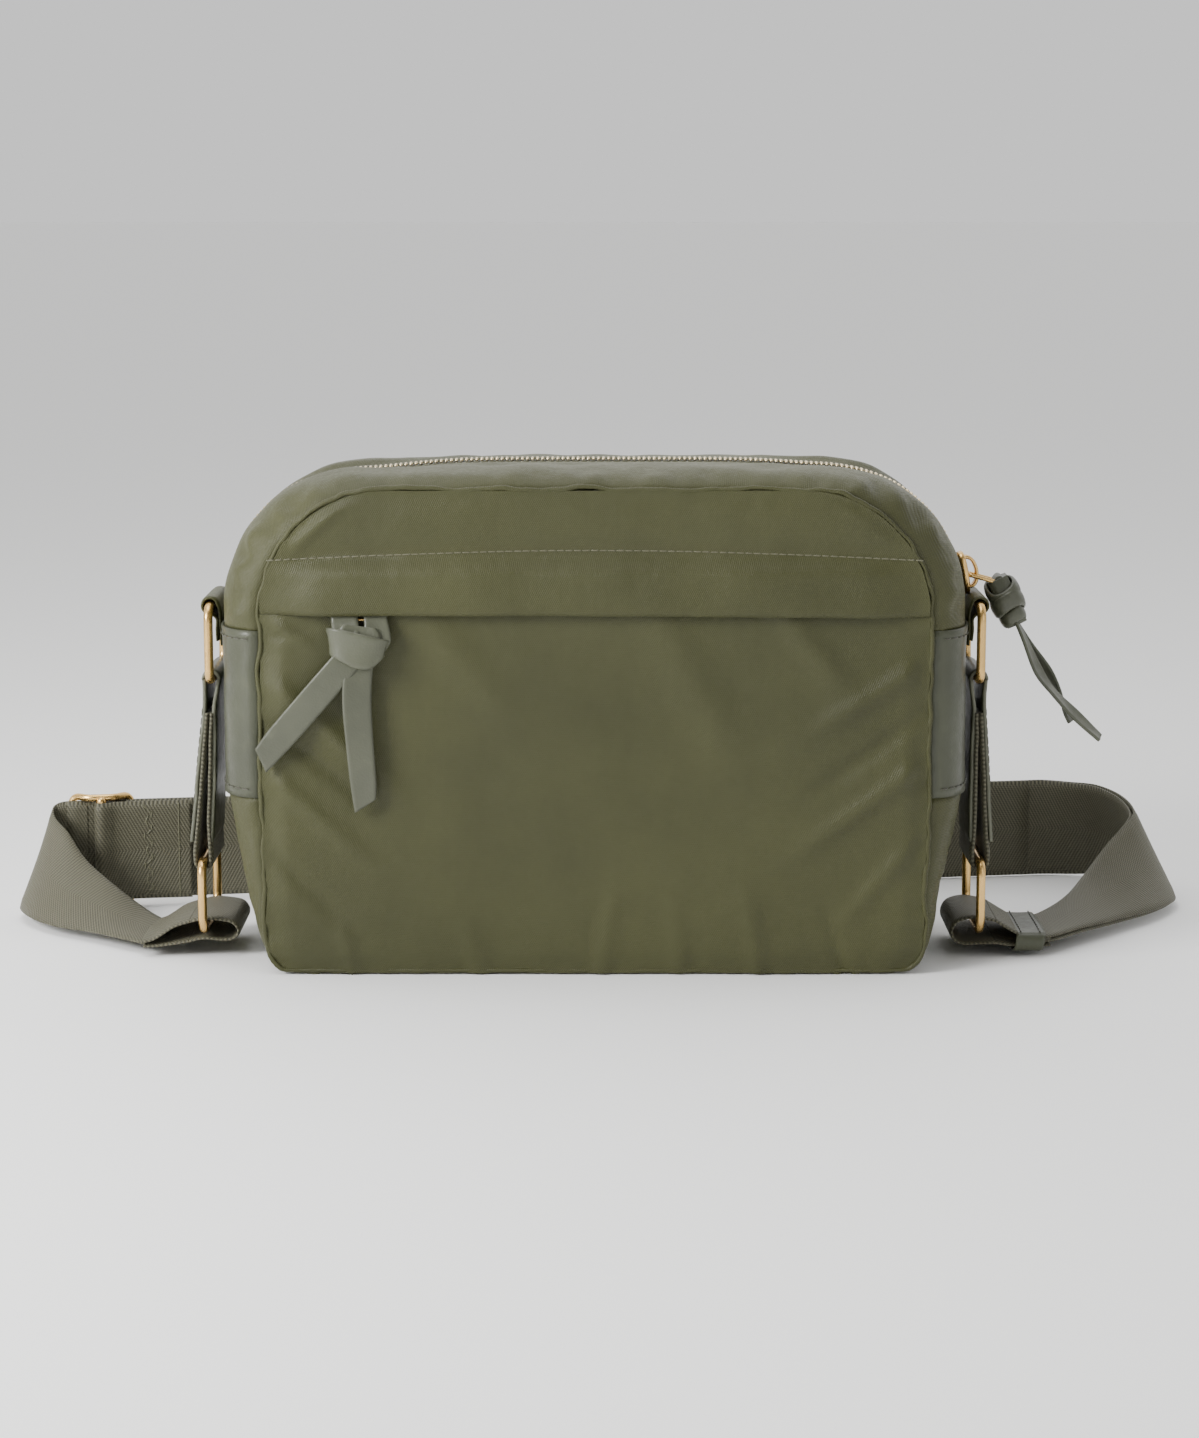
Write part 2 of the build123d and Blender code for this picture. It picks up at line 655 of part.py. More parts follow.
# ---- Adjuster on the band: end bars behind the running layer, centre bar in front of it ----
ADJUSTER_S = 13.0
ADJUSTER_HALF = 12.5
BAR = 2.4
BAR_RADIUS = 1.3
BAR_SHIFT = -3.85
adjuster_foot = BAND_START + BAND_WAY * ADJUSTER_S
ADJUSTER_LOW = 0.3
ADJUSTER_HIGH = 44.0


def adjuster_plane(z):
    """Level plane at height z, X along the band and Y away from the bag."""
    return Plane(origin=adjuster_foot + Vector(0, 0, z), x_dir=BAND_WAY, z_dir=(0, 0, 1))


with BuildPart() as adjuster_frame:
    for low in (ADJUSTER_LOW, ADJUSTER_HIGH - BAR):
        with BuildSketch(adjuster_plane(low)):
            with Locations((0, (1.0 + BAR - 5.6) / 2)):
                RectangleRounded(2 * ADJUSTER_HALF, 6.6 + BAR, 2.0)
        extrude(amount=BAR)
    with BuildSketch(adjuster_plane(ADJUSTER_LOW)):
        for end in (-1, 1):
            with Locations((end * (ADJUSTER_HALF - BAR / 2), 1.0 + BAR / 2)):
                Rectangle(BAR, BAR)
    extrude(amount=ADJUSTER_HIGH - ADJUSTER_LOW)
save(adjuster_frame, "adjuster_frame")

with BuildPart() as adjuster_bar:
    with BuildSketch(adjuster_plane(ADJUSTER_LOW + BAR + 0.02)):
        with Locations((0, BAR_SHIFT)):
            Circle(BAR_RADIUS)
    extrude(amount=ADJUSTER_HIGH - ADJUSTER_LOW - 2 * BAR - 0.04)
save(adjuster_bar, "adjuster_bar")

SEWN_LENGTH = 34.0
with BuildPart() as strap_sewn_end:
    with BuildSketch(adjuster_plane(BAND_LIFT)):
        with Locations((0, BAR_SHIFT)):
            Circle(BAR_RADIUS + 0.15 + STRAP)
        with BuildLine():
            Polyline(
                (0, BAR_SHIFT + 2.75),
                (INNER_START - ADJUSTER_S - 0.1, -0.95),
                (INNER_START - ADJUSTER_S - 0.1, -2.25),
                (5.2, -2.45),
                (SEWN_LENGTH, -2.45),
                (SEWN_LENGTH, -3.75),
                (6.5, -3.75),
                (1.6, BAR_SHIFT - 2.2),
                close=True,
            )
        make_face()
        with Locations((0, BAR_SHIFT)):
            Circle(BAR_RADIUS + 0.15, mode=Mode.SUBTRACT)
    extrude(amount=STRAP_WIDTH)
save(strap_sewn_end, "strap_sewn_end")
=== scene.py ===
import math

import bpy
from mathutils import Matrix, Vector, noise


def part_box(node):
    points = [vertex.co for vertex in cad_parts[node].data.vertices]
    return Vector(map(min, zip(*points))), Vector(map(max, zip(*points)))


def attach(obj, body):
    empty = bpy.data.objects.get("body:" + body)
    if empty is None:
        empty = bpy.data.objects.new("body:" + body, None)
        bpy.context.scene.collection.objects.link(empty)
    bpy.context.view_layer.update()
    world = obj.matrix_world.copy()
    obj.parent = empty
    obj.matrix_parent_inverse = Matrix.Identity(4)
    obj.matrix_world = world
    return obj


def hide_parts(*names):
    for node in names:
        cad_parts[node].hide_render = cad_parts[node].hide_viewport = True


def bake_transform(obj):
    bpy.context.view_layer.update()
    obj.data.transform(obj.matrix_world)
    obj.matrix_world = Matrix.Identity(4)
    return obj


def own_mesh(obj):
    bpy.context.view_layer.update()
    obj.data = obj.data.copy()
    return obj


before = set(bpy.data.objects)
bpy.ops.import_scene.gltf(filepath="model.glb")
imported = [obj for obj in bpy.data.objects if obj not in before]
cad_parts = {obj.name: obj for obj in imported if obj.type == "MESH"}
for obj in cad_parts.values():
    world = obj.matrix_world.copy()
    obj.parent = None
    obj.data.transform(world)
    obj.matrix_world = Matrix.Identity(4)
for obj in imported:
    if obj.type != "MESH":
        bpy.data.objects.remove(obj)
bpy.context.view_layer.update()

MM = 0.001

# ---- Sizes in millimetres, read from the frame where it has them ----


def node_box(name):
    """Lowest and highest corners of a CAD node, in millimetres."""
    low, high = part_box(name)
    return Vector(low) / MM, Vector(high) / MM


GUSSET_LOW, GUSSET_HIGH = node_box("zip_gusset_front")
HALF_DEPTH = -GUSSET_LOW.y
CROWN_HALF, CROWN_TOP, CROWN_RADIUS = GUSSET_HIGH.x, GUSSET_HIGH.z, 50.0
WELT = 1.6
SEAM_CORNER = node_box("back_welt")[1]
SEAM_HALF, SEAM_TOP = SEAM_CORNER.x - WELT, SEAM_CORNER.z - WELT
# Outlines: half width, half width at the foot, top, corner radius, foot radius
SEAM = (SEAM_HALF, SEAM_HALF - 1.0, SEAM_TOP, 44.0, 13.0)
CROWN = (CROWN_HALF, 117.0, CROWN_TOP, CROWN_RADIUS, 16.0)
PATCH_LOW_Z, PATCH_HIGH_Z = 62.3, 120.6
CLOTH = 1.0

FLAP_SEWN = 147.0
FLAP_LOW = node_box("front_yoke_flap")[0].z
CHAIN_LOW, CHAIN_HIGH = node_box("front_zip_chain")
ZIP_Z = CHAIN_LOW.z + 2.0
TOOTH_PITCH = 2.5 / 1.4
TOOTH_OFF = 0.78

RING_WIRE = 3.2
EYE = RING_WIRE / 2 + 0.35
STRAP_WIDTH = 38.0
STRAP = 1.3
TONGUE = 0.7
TONGUE_WIDTH = 0.97
SIDES = {"left": -1.0, "right": 1.0}


# ---- Camera, light and floor ----
def set_camera():
    """Camera in front of the bag and a little above it."""
    distance = 1050.0
    height = 266.0
    aim_z = 89.0
    data = bpy.data.cameras.new("camera")
    data.lens = 77.27
    data.sensor_width = 36.0
    data.clip_end = 90.0
    data.shift_y = 0.0022
    camera = bpy.data.objects.new("camera", data)
    bpy.context.scene.collection.objects.link(camera)
    camera.location = Vector((1.6, -HALF_DEPTH - distance, height)) * MM
    down = math.atan((height - aim_z) / distance)
    camera.rotation_euler = (math.pi / 2 - down, 0.0, 0.0)
    bpy.context.scene.camera = camera


def area_light(name, place, size, power):
    """Square soft light at place, in metres, turned towards the bag."""
    data = bpy.data.lights.new(name, "AREA")
    data.size = size
    data.energy = power
    light = bpy.data.objects.new(name, data)
    bpy.context.scene.collection.objects.link(light)
    light.location = place
    light.rotation_euler = (Vector((0.0, 0.0, 0.09)) - Vector(place)).to_track_quat("-Z", "Y").to_euler()


def eased_share(nodes, *ends):
    """Node that maps one range of values onto another: from low, from high, to low, to high."""
    share = nodes.new("ShaderNodeMapRange")
    for socket, value in zip(("From Min", "From Max", "To Min", "To Max"), ends):
        share.inputs[socket].default_value = value
    return share


def set_studio():
    """Pale floor, bright backdrop, dimmer room in front, and soft lamps at the left, right and above."""
    world = bpy.data.worlds.new("studio")
    world.use_nodes = True
    nodes, links = world.node_tree.nodes, world.node_tree.links
    back = nodes["Background"]
    back.inputs["Color"].default_value = (1.0, 1.0, 1.0, 1.0)
    way = nodes.new("ShaderNodeTexCoord")
    parts = nodes.new("ShaderNodeSeparateXYZ")
    depth = eased_share(nodes, -0.3, 0.6, 0.30, 1.7)
    rise = eased_share(nodes, 0.10, 0.34, 0.0, 1.0)
    both = nodes.new("ShaderNodeMix")
    horizon_light = 0.88
    both.inputs[2].default_value = horizon_light
    links.new(way.outputs["Generated"], parts.inputs[0])
    links.new(parts.outputs["Y"], depth.inputs["Value"])
    links.new(parts.outputs["Z"], rise.inputs["Value"])
    links.new(rise.outputs["Result"], both.inputs[0])
    links.new(depth.outputs["Result"], both.inputs[3])
    links.new(both.outputs[0], back.inputs["Strength"])
    bpy.context.scene.world = world
    area_light("key", (-0.72, -0.50, 0.46), 0.36, 12.0)
    area_light("fill", (0.9, -0.9, 0.6), 0.8, 2.6)
    area_light("top", (-0.25, -0.1, 1.2), 0.8, 7.0)
    bpy.ops.mesh.primitive_plane_add(size=80.0, location=(0.0, 0.0, -0.0004))
    floor = bpy.context.object
    floor.name = "floor"
    paint = bpy.data.materials.new("floor_paint")
    paint.use_nodes = True
    shader = paint.node_tree.nodes["Principled BSDF"]
    shader.inputs["Base Color"].default_value = (0.93, 0.93, 0.92, 1.0)
    shader.inputs["Roughness"].default_value = 0.85
    floor.data.materials.append(paint)


set_camera()
set_studio()


# ---- Materials ----
class Finish:
    """A material under construction: its nodes, links and Principled shader."""

    def __init__(self, name, **constants):
        self.material = bpy.data.materials.new(name)
        self.material.use_nodes = True
        self.nodes = self.material.node_tree.nodes
        self.links = self.material.node_tree.links
        self.shader = self.nodes["Principled BSDF"]
        for key, value in constants.items():
            self.shader.inputs[key.replace("_", " ")].default_value = value

    def add(self, kind, inputs=None, **settings):
        node = self.nodes.new(kind)
        for key, value in settings.items():
            setattr(node, key, value)
        for key, value in (inputs or {}).items():
            if isinstance(value, bpy.types.NodeSocket):
                self.links.new(value, node.inputs[key])
            else:
                node.inputs[key].default_value = value
        return node

    def object_place(self, scale=(1.0, 1.0, 1.0), turn=(0.0, 0.0, 0.0)):
        place = self.add("ShaderNodeTexCoord").outputs["Object"]
        return self.add("ShaderNodeMapping", {"Vector": place, "Scale": scale, "Rotation": turn}).outputs[0]

    def noise(self, place, scale, detail=3.0, roughness=0.5):
        inputs = {"Vector": place, "Scale": scale, "Detail": detail, "Roughness": roughness}
        return self.add("ShaderNodeTexNoise", inputs).outputs["Fac"]

    def wave(self, place, scale, direction="X"):
        inputs = {"Vector": place, "Scale": scale, "Distortion": 0.0}
        return self.add("ShaderNodeTexWave", inputs, bands_direction=direction).outputs["Fac"]

    def math(self, operation, a, b=0.0, c=0.0):
        return self.add("ShaderNodeMath", {0: a, 1: b, 2: c}, operation=operation).outputs[0]

    def ramp(self, value, low, high, out_low=0.0, out_high=1.0):
        inputs = {"Value": value, 1: low, 2: high, 3: out_low, 4: out_high}
        return self.add("ShaderNodeMapRange", inputs).outputs[0]

    def blend(self, share, a, b, kind="RGBA"):
        return self.add("ShaderNodeMix", {"Factor": share, "A": a, "B": b}, data_type=kind).outputs["Result"]

    def wavy(self, value, turns):
        """Share from 0 to 1 that rises and falls with value."""
        swing = self.math("SINE", self.math("MULTIPLY", value, turns))
        return self.math("MULTIPLY_ADD", swing, 0.5, 0.5)

    def colour(self, value):
        self.links.new(value, self.shader.inputs["Base Color"])

    def rough(self, value):
        self.links.new(value, self.shader.inputs["Roughness"])

    def bump(self, height, distance, strength=1.0, under=None):
        inputs = {"Height": height, "Distance": distance, "Strength": strength}
        if under is not None:
            inputs["Normal"] = under
        return self.add("ShaderNodeBump", inputs).outputs[0]

    def normal(self, value):
        self.links.new(value, self.shader.inputs["Normal"])


def rgba(r, g, b):
    return (r, g, b, 1.0)


def shaded(tone, share):
    """Colour made darker or lighter by a share."""
    return rgba(*(min(1.0, share * c) for c in tone))


def olive_nylon(name):
    """Tight twill nylon: fine diagonal ribs, slubs, a soft sheen and slow changes of tone."""
    finish = Finish(name, Sheen_Weight=0.10, Sheen_Roughness=0.3, Specular_IOR_Level=0.32)
    finish.shader.inputs["Sheen Tint"].default_value = rgba(0.72, 0.72, 0.45)
    flat = finish.object_place()
    twill = finish.wave(finish.object_place(turn=(0.0, math.radians(28.0), math.radians(20.0))), 560.0)
    cross = finish.wave(finish.object_place(turn=(0.0, math.radians(-62.0), math.radians(20.0))), 420.0)
    slub = finish.noise(finish.object_place(scale=(1.0, 1.0, 0.08)), 1500.0, 2.0)
    cloud = finish.noise(flat, 14.0, 3.0, 0.55)
    fine = finish.noise(flat, 900.0, 2.0)
    dark, light = rgba(0.045, 0.0465, 0.0155), rgba(0.064, 0.0655, 0.0225)
    tone = finish.blend(finish.ramp(cloud, 0.3, 0.7), dark, light)
    yarn = finish.math("ADD", finish.math("MULTIPLY", twill, 0.55), finish.math("MULTIPLY", cross, 0.25))
    yarn = finish.math("ADD", yarn, finish.math("MULTIPLY", slub, 0.4))
    gap = finish.blend(0.35, tone, rgba(0.014, 0.014, 0.005))
    finish.colour(finish.blend(finish.ramp(yarn, 0.2, 1.0), gap, tone))
    finish.rough(finish.ramp(fine, 0.3, 0.7, 0.40, 0.54))
    weave = finish.bump(yarn, 0.00016, 0.7)
    crinkle = finish.noise(finish.object_place(scale=(1.0, 1.0, 0.7)), 95.0, 5.0, 0.62)
    finish.normal(finish.bump(crinkle, 0.0016, 0.42, weave))
    return finish.material


def trim_leather(name, tone=(0.044, 0.048, 0.026), grain=1.0):
    """Smooth pressed leather: fine pores, soft creases, worn lighter spots and a low gloss."""
    finish = Finish(name, Specular_IOR_Level=0.45, Coat_Weight=0.16, Coat_Roughness=0.26)
    flat = finish.object_place()
    pores = finish.add("ShaderNodeTexVoronoi", {"Vector": flat, "Scale": 1400.0}).outputs["Distance"]
    crease = finish.noise(flat, 320.0, 4.0, 0.6)
    cloud = finish.noise(flat, 45.0, 3.0)
    base = finish.blend(finish.ramp(cloud, 0.3, 0.7), shaded(tone, 0.82), shaded(tone, 1.16))
    worn = finish.ramp(finish.noise(flat, 180.0, 2.0), 0.62, 0.8)
    finish.colour(finish.blend(finish.math("MULTIPLY", worn, 0.35), base, shaded(tone, 1.6)))
    finish.rough(finish.ramp(crease, 0.3, 0.7, 0.40, 0.55))
    first = finish.bump(crease, 0.00018 * grain, 0.5)
    finish.normal(finish.bump(pores, 0.00008 * grain, 0.6, first))
    return finish.material


def twill_webbing(name):
    """Herringbone webbing in its own UV (metres along and across), with a firmer woven edge."""
    finish = Finish(name, Sheen_Weight=0.12, Sheen_Roughness=0.4, Specular_IOR_Level=0.4)
    finish.shader.inputs["Sheen Tint"].default_value = rgba(0.85, 0.84, 0.72)
    uv = finish.add("ShaderNodeUVMap", uv_map="weave").outputs[0]
    parts = finish.add("ShaderNodeSeparateXYZ", {0: uv})
    u, v = parts.outputs[0], parts.outputs[1]
    rib_pitch, warp_pitch, edge_pitch = 1.25 * MM, 0.75 * MM, 1.6 * MM
    slant = finish.math("MULTIPLY", finish.math("ABSOLUTE", v), 0.55)
    rib = finish.wavy(finish.math("ADD", u, slant), math.tau / rib_pitch)
    warp = finish.wavy(v, math.tau / warp_pitch)
    edge = finish.ramp(finish.math("ABSOLUTE", v), 0.0172, 0.0180)
    pick = finish.wavy(u, math.tau / edge_pitch)
    height = finish.math("ADD", finish.math("MULTIPLY", rib, 0.65), finish.math("MULTIPLY", warp, 0.35))
    height = finish.blend(edge, height, pick, "FLOAT")
    fuzz = finish.noise(uv, 2600.0, 2.0)
    shade = finish.math("ADD", height, finish.math("MULTIPLY_ADD", fuzz, 0.5, -0.25))
    dark, light = rgba(0.030, 0.028, 0.015), rgba(0.118, 0.112, 0.072)
    finish.colour(finish.blend(finish.ramp(shade, 0.05, 0.95), dark, light))
    finish.rough(finish.ramp(fuzz, 0.3, 0.7, 0.5, 0.68))
    finish.normal(finish.bump(height, 0.00022, 0.8))
    return finish.material


def pale_gold(name, tone=(0.74, 0.48, 0.18), rough=0.27):
    """Plated gold: faint brushing, tiny dents and a tone that changes at random."""
    finish = Finish(name, Metallic=1.0)
    flat = finish.object_place()
    brushed = finish.noise(finish.object_place(scale=(1.0, 1.0, 0.06)), 1800.0, 3.0)
    cloud = finish.noise(flat, 90.0, 3.0)
    finish.colour(finish.blend(finish.ramp(cloud, 0.3, 0.7), shaded(tone, 0.86), shaded(tone, 1.1)))
    finish.rough(finish.ramp(brushed, 0.3, 0.75, rough - 0.06, rough + 0.12))
    finish.normal(finish.bump(brushed, 0.00003, 0.4))
    return finish.material


def woven_tape(name, tone=(0.040, 0.039, 0.020)):
    """Zip tape and thin cloth: a plain small weave."""
    finish = Finish(name, Sheen_Weight=0.2, Sheen_Roughness=0.5)
    flat = finish.object_place()
    across = finish.wave(flat, 430.0, "X")
    up = finish.wave(finish.object_place(turn=(math.radians(40.0), 0.0, 0.0)), 430.0, "Z")
    weave = finish.math("MULTIPLY", across, up)
    finish.colour(finish.blend(weave, shaded(tone, 0.6), shaded(tone, 1.25)))
    finish.rough(finish.ramp(finish.noise(flat, 700.0), 0.3, 0.7, 0.62, 0.8))
    finish.normal(finish.bump(weave, 0.0001, 0.6))
    return finish.material


def sewing_thread(name, tone=(0.125, 0.122, 0.072)):
    """Twisted polyester thread."""
    finish = Finish(name, Sheen_Weight=0.2, Sheen_Roughness=0.3)
    ply = finish.wave(finish.object_place(turn=(0.0, math.radians(35.0), math.radians(35.0))), 900.0)
    finish.colour(finish.blend(ply, shaded(tone, 0.7), shaded(tone, 1.15)))
    finish.rough(finish.ramp(ply, 0.0, 1.0, 0.42, 0.6))
    finish.normal(finish.bump(ply, 0.00005, 0.6))
    return finish.material


def stiff_board(name):
    """Matt plastic sheet with a fine texture."""
    finish = Finish(name)
    flat = finish.object_place()
    grain = finish.noise(flat, 1200.0, 2.0)
    finish.colour(finish.blend(grain, rgba(0.02, 0.02, 0.02), rgba(0.05, 0.05, 0.05)))
    finish.rough(finish.ramp(grain, 0.3, 0.7, 0.5, 0.7))
    return finish.material


NYLON = olive_nylon("olive_nylon")
LEATHER_TRIM = trim_leather("trim_leather")
# Leather for knots, laces and tails: the trim leather made lighter, painted light for pulls that face the
# lamp
LACE_LEATHER_PAINTED_LIT = trim_leather("lace_leather", (0.066, 0.070, 0.044))
WEBBING = twill_webbing("twill_webbing")
GOLD = pale_gold("pale_gold")
TEETH_METAL = pale_gold("zip_teeth_metal", (0.78, 0.66, 0.44), 0.3)
TAPE = woven_tape("zip_tape")
LINING = woven_tape("lining_cloth", (0.12, 0.115, 0.075))
# Paler leather for the hangers' cut edges: partly the raw edges' own colour, partly a painted highlight
LEATHER_EDGE_AND_HIGHLIGHT = trim_leather("leather_edge", (0.105, 0.108, 0.074), 2.0)
THREAD = sewing_thread("topstitch_thread")
DARK_THREAD = sewing_thread("trim_thread", (0.045, 0.044, 0.026))
BOARD = stiff_board("stiff_board")


# ---- Mesh helpers, all in millimetres ----
def piece_from(name, points, faces, material, uvs=None):
    """Mesh object from points in millimetres and faces; uvs gives each point its place on the cloth."""
    mesh = bpy.data.meshes.new(name)
    mesh.from_pydata([tuple(Vector(p) * MM) for p in points], [], faces)
    if uvs:
        layer = mesh.uv_layers.new(name="weave")
        for loop in mesh.loops:
            layer.data[loop.index].uv = uvs[loop.vertex_index]
    mesh.materials.append(material)
    mesh.polygons.foreach_set("use_smooth", [True] * len(mesh.polygons))
    mesh.update()
    obj = bpy.data.objects.new(name, mesh)
    bpy.context.scene.collection.objects.link(obj)
    return obj


def make_plain(obj):
    """Turn a piece with modifiers into its plain mesh."""
    seen = obj.evaluated_get(bpy.context.evaluated_depsgraph_get())
    mesh = bpy.data.meshes.new_from_object(seen)
    obj.modifiers.clear()
    obj.data = mesh
    mesh.name = obj.name
    return obj


def thicken(obj):
    """Give a cloth surface its thickness inwards, away from its normals."""
    solid = obj.modifiers.new("thickness", "SOLIDIFY")
    solid.thickness = CLOTH * MM
    solid.offset = -1.0
    return make_plain(obj)


def turn_outwards(obj):
    """Point the faces of a closed piece outwards."""
    bpy.context.view_layer.objects.active = obj
    bpy.ops.object.select_all(action="DESELECT")
    obj.select_set(True)
    bpy.ops.object.mode_set(mode="EDIT")
    bpy.ops.mesh.select_all(action="SELECT")
    bpy.ops.mesh.normals_make_consistent(inside=False)
    bpy.ops.object.mode_set(mode="OBJECT")
    return obj


def place(obj, body, slot, *nodes):
    """Let a piece ride its body and stand for its CAD nodes; slot is not used."""
    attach(obj, body)
    if nodes:
        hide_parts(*nodes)
    return obj


def grid_faces(rows, columns, closed_rows=False, closed_columns=False):
    """Quads over a grid of points stored row after row."""
    faces = []
    for i in range(rows if closed_rows else rows - 1):
        for j in range(columns if closed_columns else columns - 1):
            a, b = i * columns + j, i * columns + (j + 1) % columns
            c, d = ((i + 1) % rows) * columns + (j + 1) % columns, ((i + 1) % rows) * columns + j
            faces.append((a, b, c, d))
    return faces


def smoothstep(low, high, value):
    t = min(1.0, max(0.0, (value - low) / (high - low)))
    return t * t * (3.0 - 2.0 * t)


def curve_at(points, t):
    """Point on the smooth curve through the points, t from 0 to 1."""
    spans = len(points) - 1
    k = min(int(t * spans), spans - 1)
    f = t * spans - k
    a, b, c, d = (points[min(max(i, 0), spans)] for i in (k - 1, k, k + 1, k + 2))
    return 0.5 * (2 * b + (c - a) * f + (2 * a - 5 * b + 4 * c - d) * f**2 + (3 * b - a - 3 * c + d) * f**3)


def smooth_line(points, steps):
    points = [Vector(p) for p in points]
    count = (len(points) - 1) * steps
    return [curve_at(points, i / count) for i in range(count + 1)]


def rough(point, scale, seed=0.0):
    """Smooth random value from -1 to 1 at a point, with features about scale millimetres across."""
    return noise.noise(Vector(point) / scale + Vector((seed, 1.7 * seed, -seed)))


def tube(name, line, radius, material, sides=10, closed=False):
    """Round rod along a line of points."""
    count = len(line)
    points = []
    up = Vector((0.0, 0.0, 1.0))
    for i, middle in enumerate(line):
        ahead = line[(i + 1) % count] if closed else line[min(i + 1, count - 1)]
        behind = line[i - 1] if closed or i else line[0]
        way = (ahead - behind).normalized()
        square = up - way * up.dot(way) if abs(up.dot(way)) < 0.99 else way.orthogonal()
        up = square.normalized()
        across = way.cross(up)
        size = radius(i / max(1, count - 1)) if callable(radius) else radius
        for j in range(sides):
            turn = math.tau * j / sides
            points.append(middle + (up * math.cos(turn) + across * math.sin(turn)) * size)
    faces = grid_faces(count, sides, closed, True)
    if not closed:
        faces.append(tuple(range(sides))[::-1])
        faces.append(tuple((count - 1) * sides + j for j in range(sides)))
    return turn_outwards(piece_from(name, points, faces, material))


def band(
    name, edges, thickness, material, steps=6, shift=0.0, cup=0.0, closed=False,
    span=None, form=None, edge_and_highlight=None,
):
    """Strip of cloth or leather through pairs of edge points, smooth along its length, with soft edges.

    shift moves it off its middle surface, cup bends it across, span keeps part of its length and adds
    a thinner tongue that tucks into the next part,
    form(point, along, across, normal) moves single points, and edging is a paler material for its cut edges,
    partly their own colour and partly a painted highlight.
    """
    lows = [Vector(low) for low, high in edges]
    highs = [Vector(high) for low, high in edges]
    if closed:
        count = len(lows) * steps
        lows, highs = ([line[-1]] + line + line[:2] for line in (lows, highs))
        where = [(1.0 + i / steps) / (len(lows) - 1.0) for i in range(count)]
    else:
        count = (len(lows) - 1) * steps + 1
        where = [i / (count - 1) for i in range(count)]
    low_line = [curve_at(lows, t) for t in where]
    high_line = [curve_at(highs, t) for t in where]
    middle = [(a + b) / 2 for a, b in zip(low_line, high_line)]
    length = [0.0]
    for a, b in zip(middle, middle[1:]):
        length.append(length[-1] + (b - a).length)
    across_count = 12
    half = thickness / 2
    points, uvs = [], []
    first_id, last_id = (0, count - 1) if span is None else (span[0] * steps, span[1] * steps)
    ids = range(first_id - (first_id > 0), last_id + 1 + (last_id < count - 1))
    for i in ids:
        full_row = first_id <= i <= last_id
        ahead = middle[(i + 1) % count] if closed else middle[min(i + 1, count - 1)]
        behind = middle[i - 1] if closed or i else middle[0]
        side_way = high_line[i] - low_line[i]
        width = side_way.length
        side_way.normalize()
        normal = side_way.cross(ahead - behind).normalized()
        ring = []
        for j in range(across_count + 1):
            s = 2 * j / across_count - 1
            thin = 1.0 - (0.2 if edge_and_highlight else 0.55) * max(0.0, abs(s) - 0.86) / 0.14
            ring.append((s, half * thin * (1.0 if full_row else TONGUE)))
        ring += [(s, -h) for s, h in reversed(ring)]
        for s, h in ring:
            lift = shift + h + cup * (1 - s * s)
            reach = s * width / 2 * (1.0 if full_row else TONGUE_WIDTH)
            point = middle[i] + side_way * reach + normal * lift
            if form:
                point = form(point, length[i], s, normal)
            points.append(point)
            uvs.append((length[i] * MM, s * width / 2 * MM))
    around = 2 * (across_count + 1)
    rows = len(ids)
    faces = grid_faces(rows, around, closed, True)
    if not closed:
        for row in (0, rows - 1):
            for j in range(across_count):
                a = row * around + j
                b = row * around + around - 1 - j
                faces.append((a, a + 1, b - 1, b))
    obj = turn_outwards(piece_from(name, points, faces, material, uvs))
    if not closed:
        for cap in obj.data.polygons[-2 * across_count :]:
            cap.use_smooth = False
    # Long cut edges get the paler edge material: partly their own colour, partly a painted highlight
    if edge_and_highlight:
        obj.data.materials.append(edge_and_highlight)
        for i in range((rows if closed else rows - 1) * around):
            if i % around in (across_count, around - 1):
                obj.data.polygons[i].material_index = 1
    return obj


def flat_path(points, half_width):
    """Edges of a strip whose path lies on the XZ plane and whose width runs along Y."""
    return [((x, -half_width, z), (x, half_width, z)) for x, z in points]


def around_bar(x, z, radius, start, stop, count):
    """Points on a circle round a bar, angles in degrees from +X towards +Z."""
    turns = [math.radians(start + (stop - start) * i / (count - 1)) for i in range(count)]
    return [(x + radius * math.cos(a), z + radius * math.sin(a)) for a in turns]


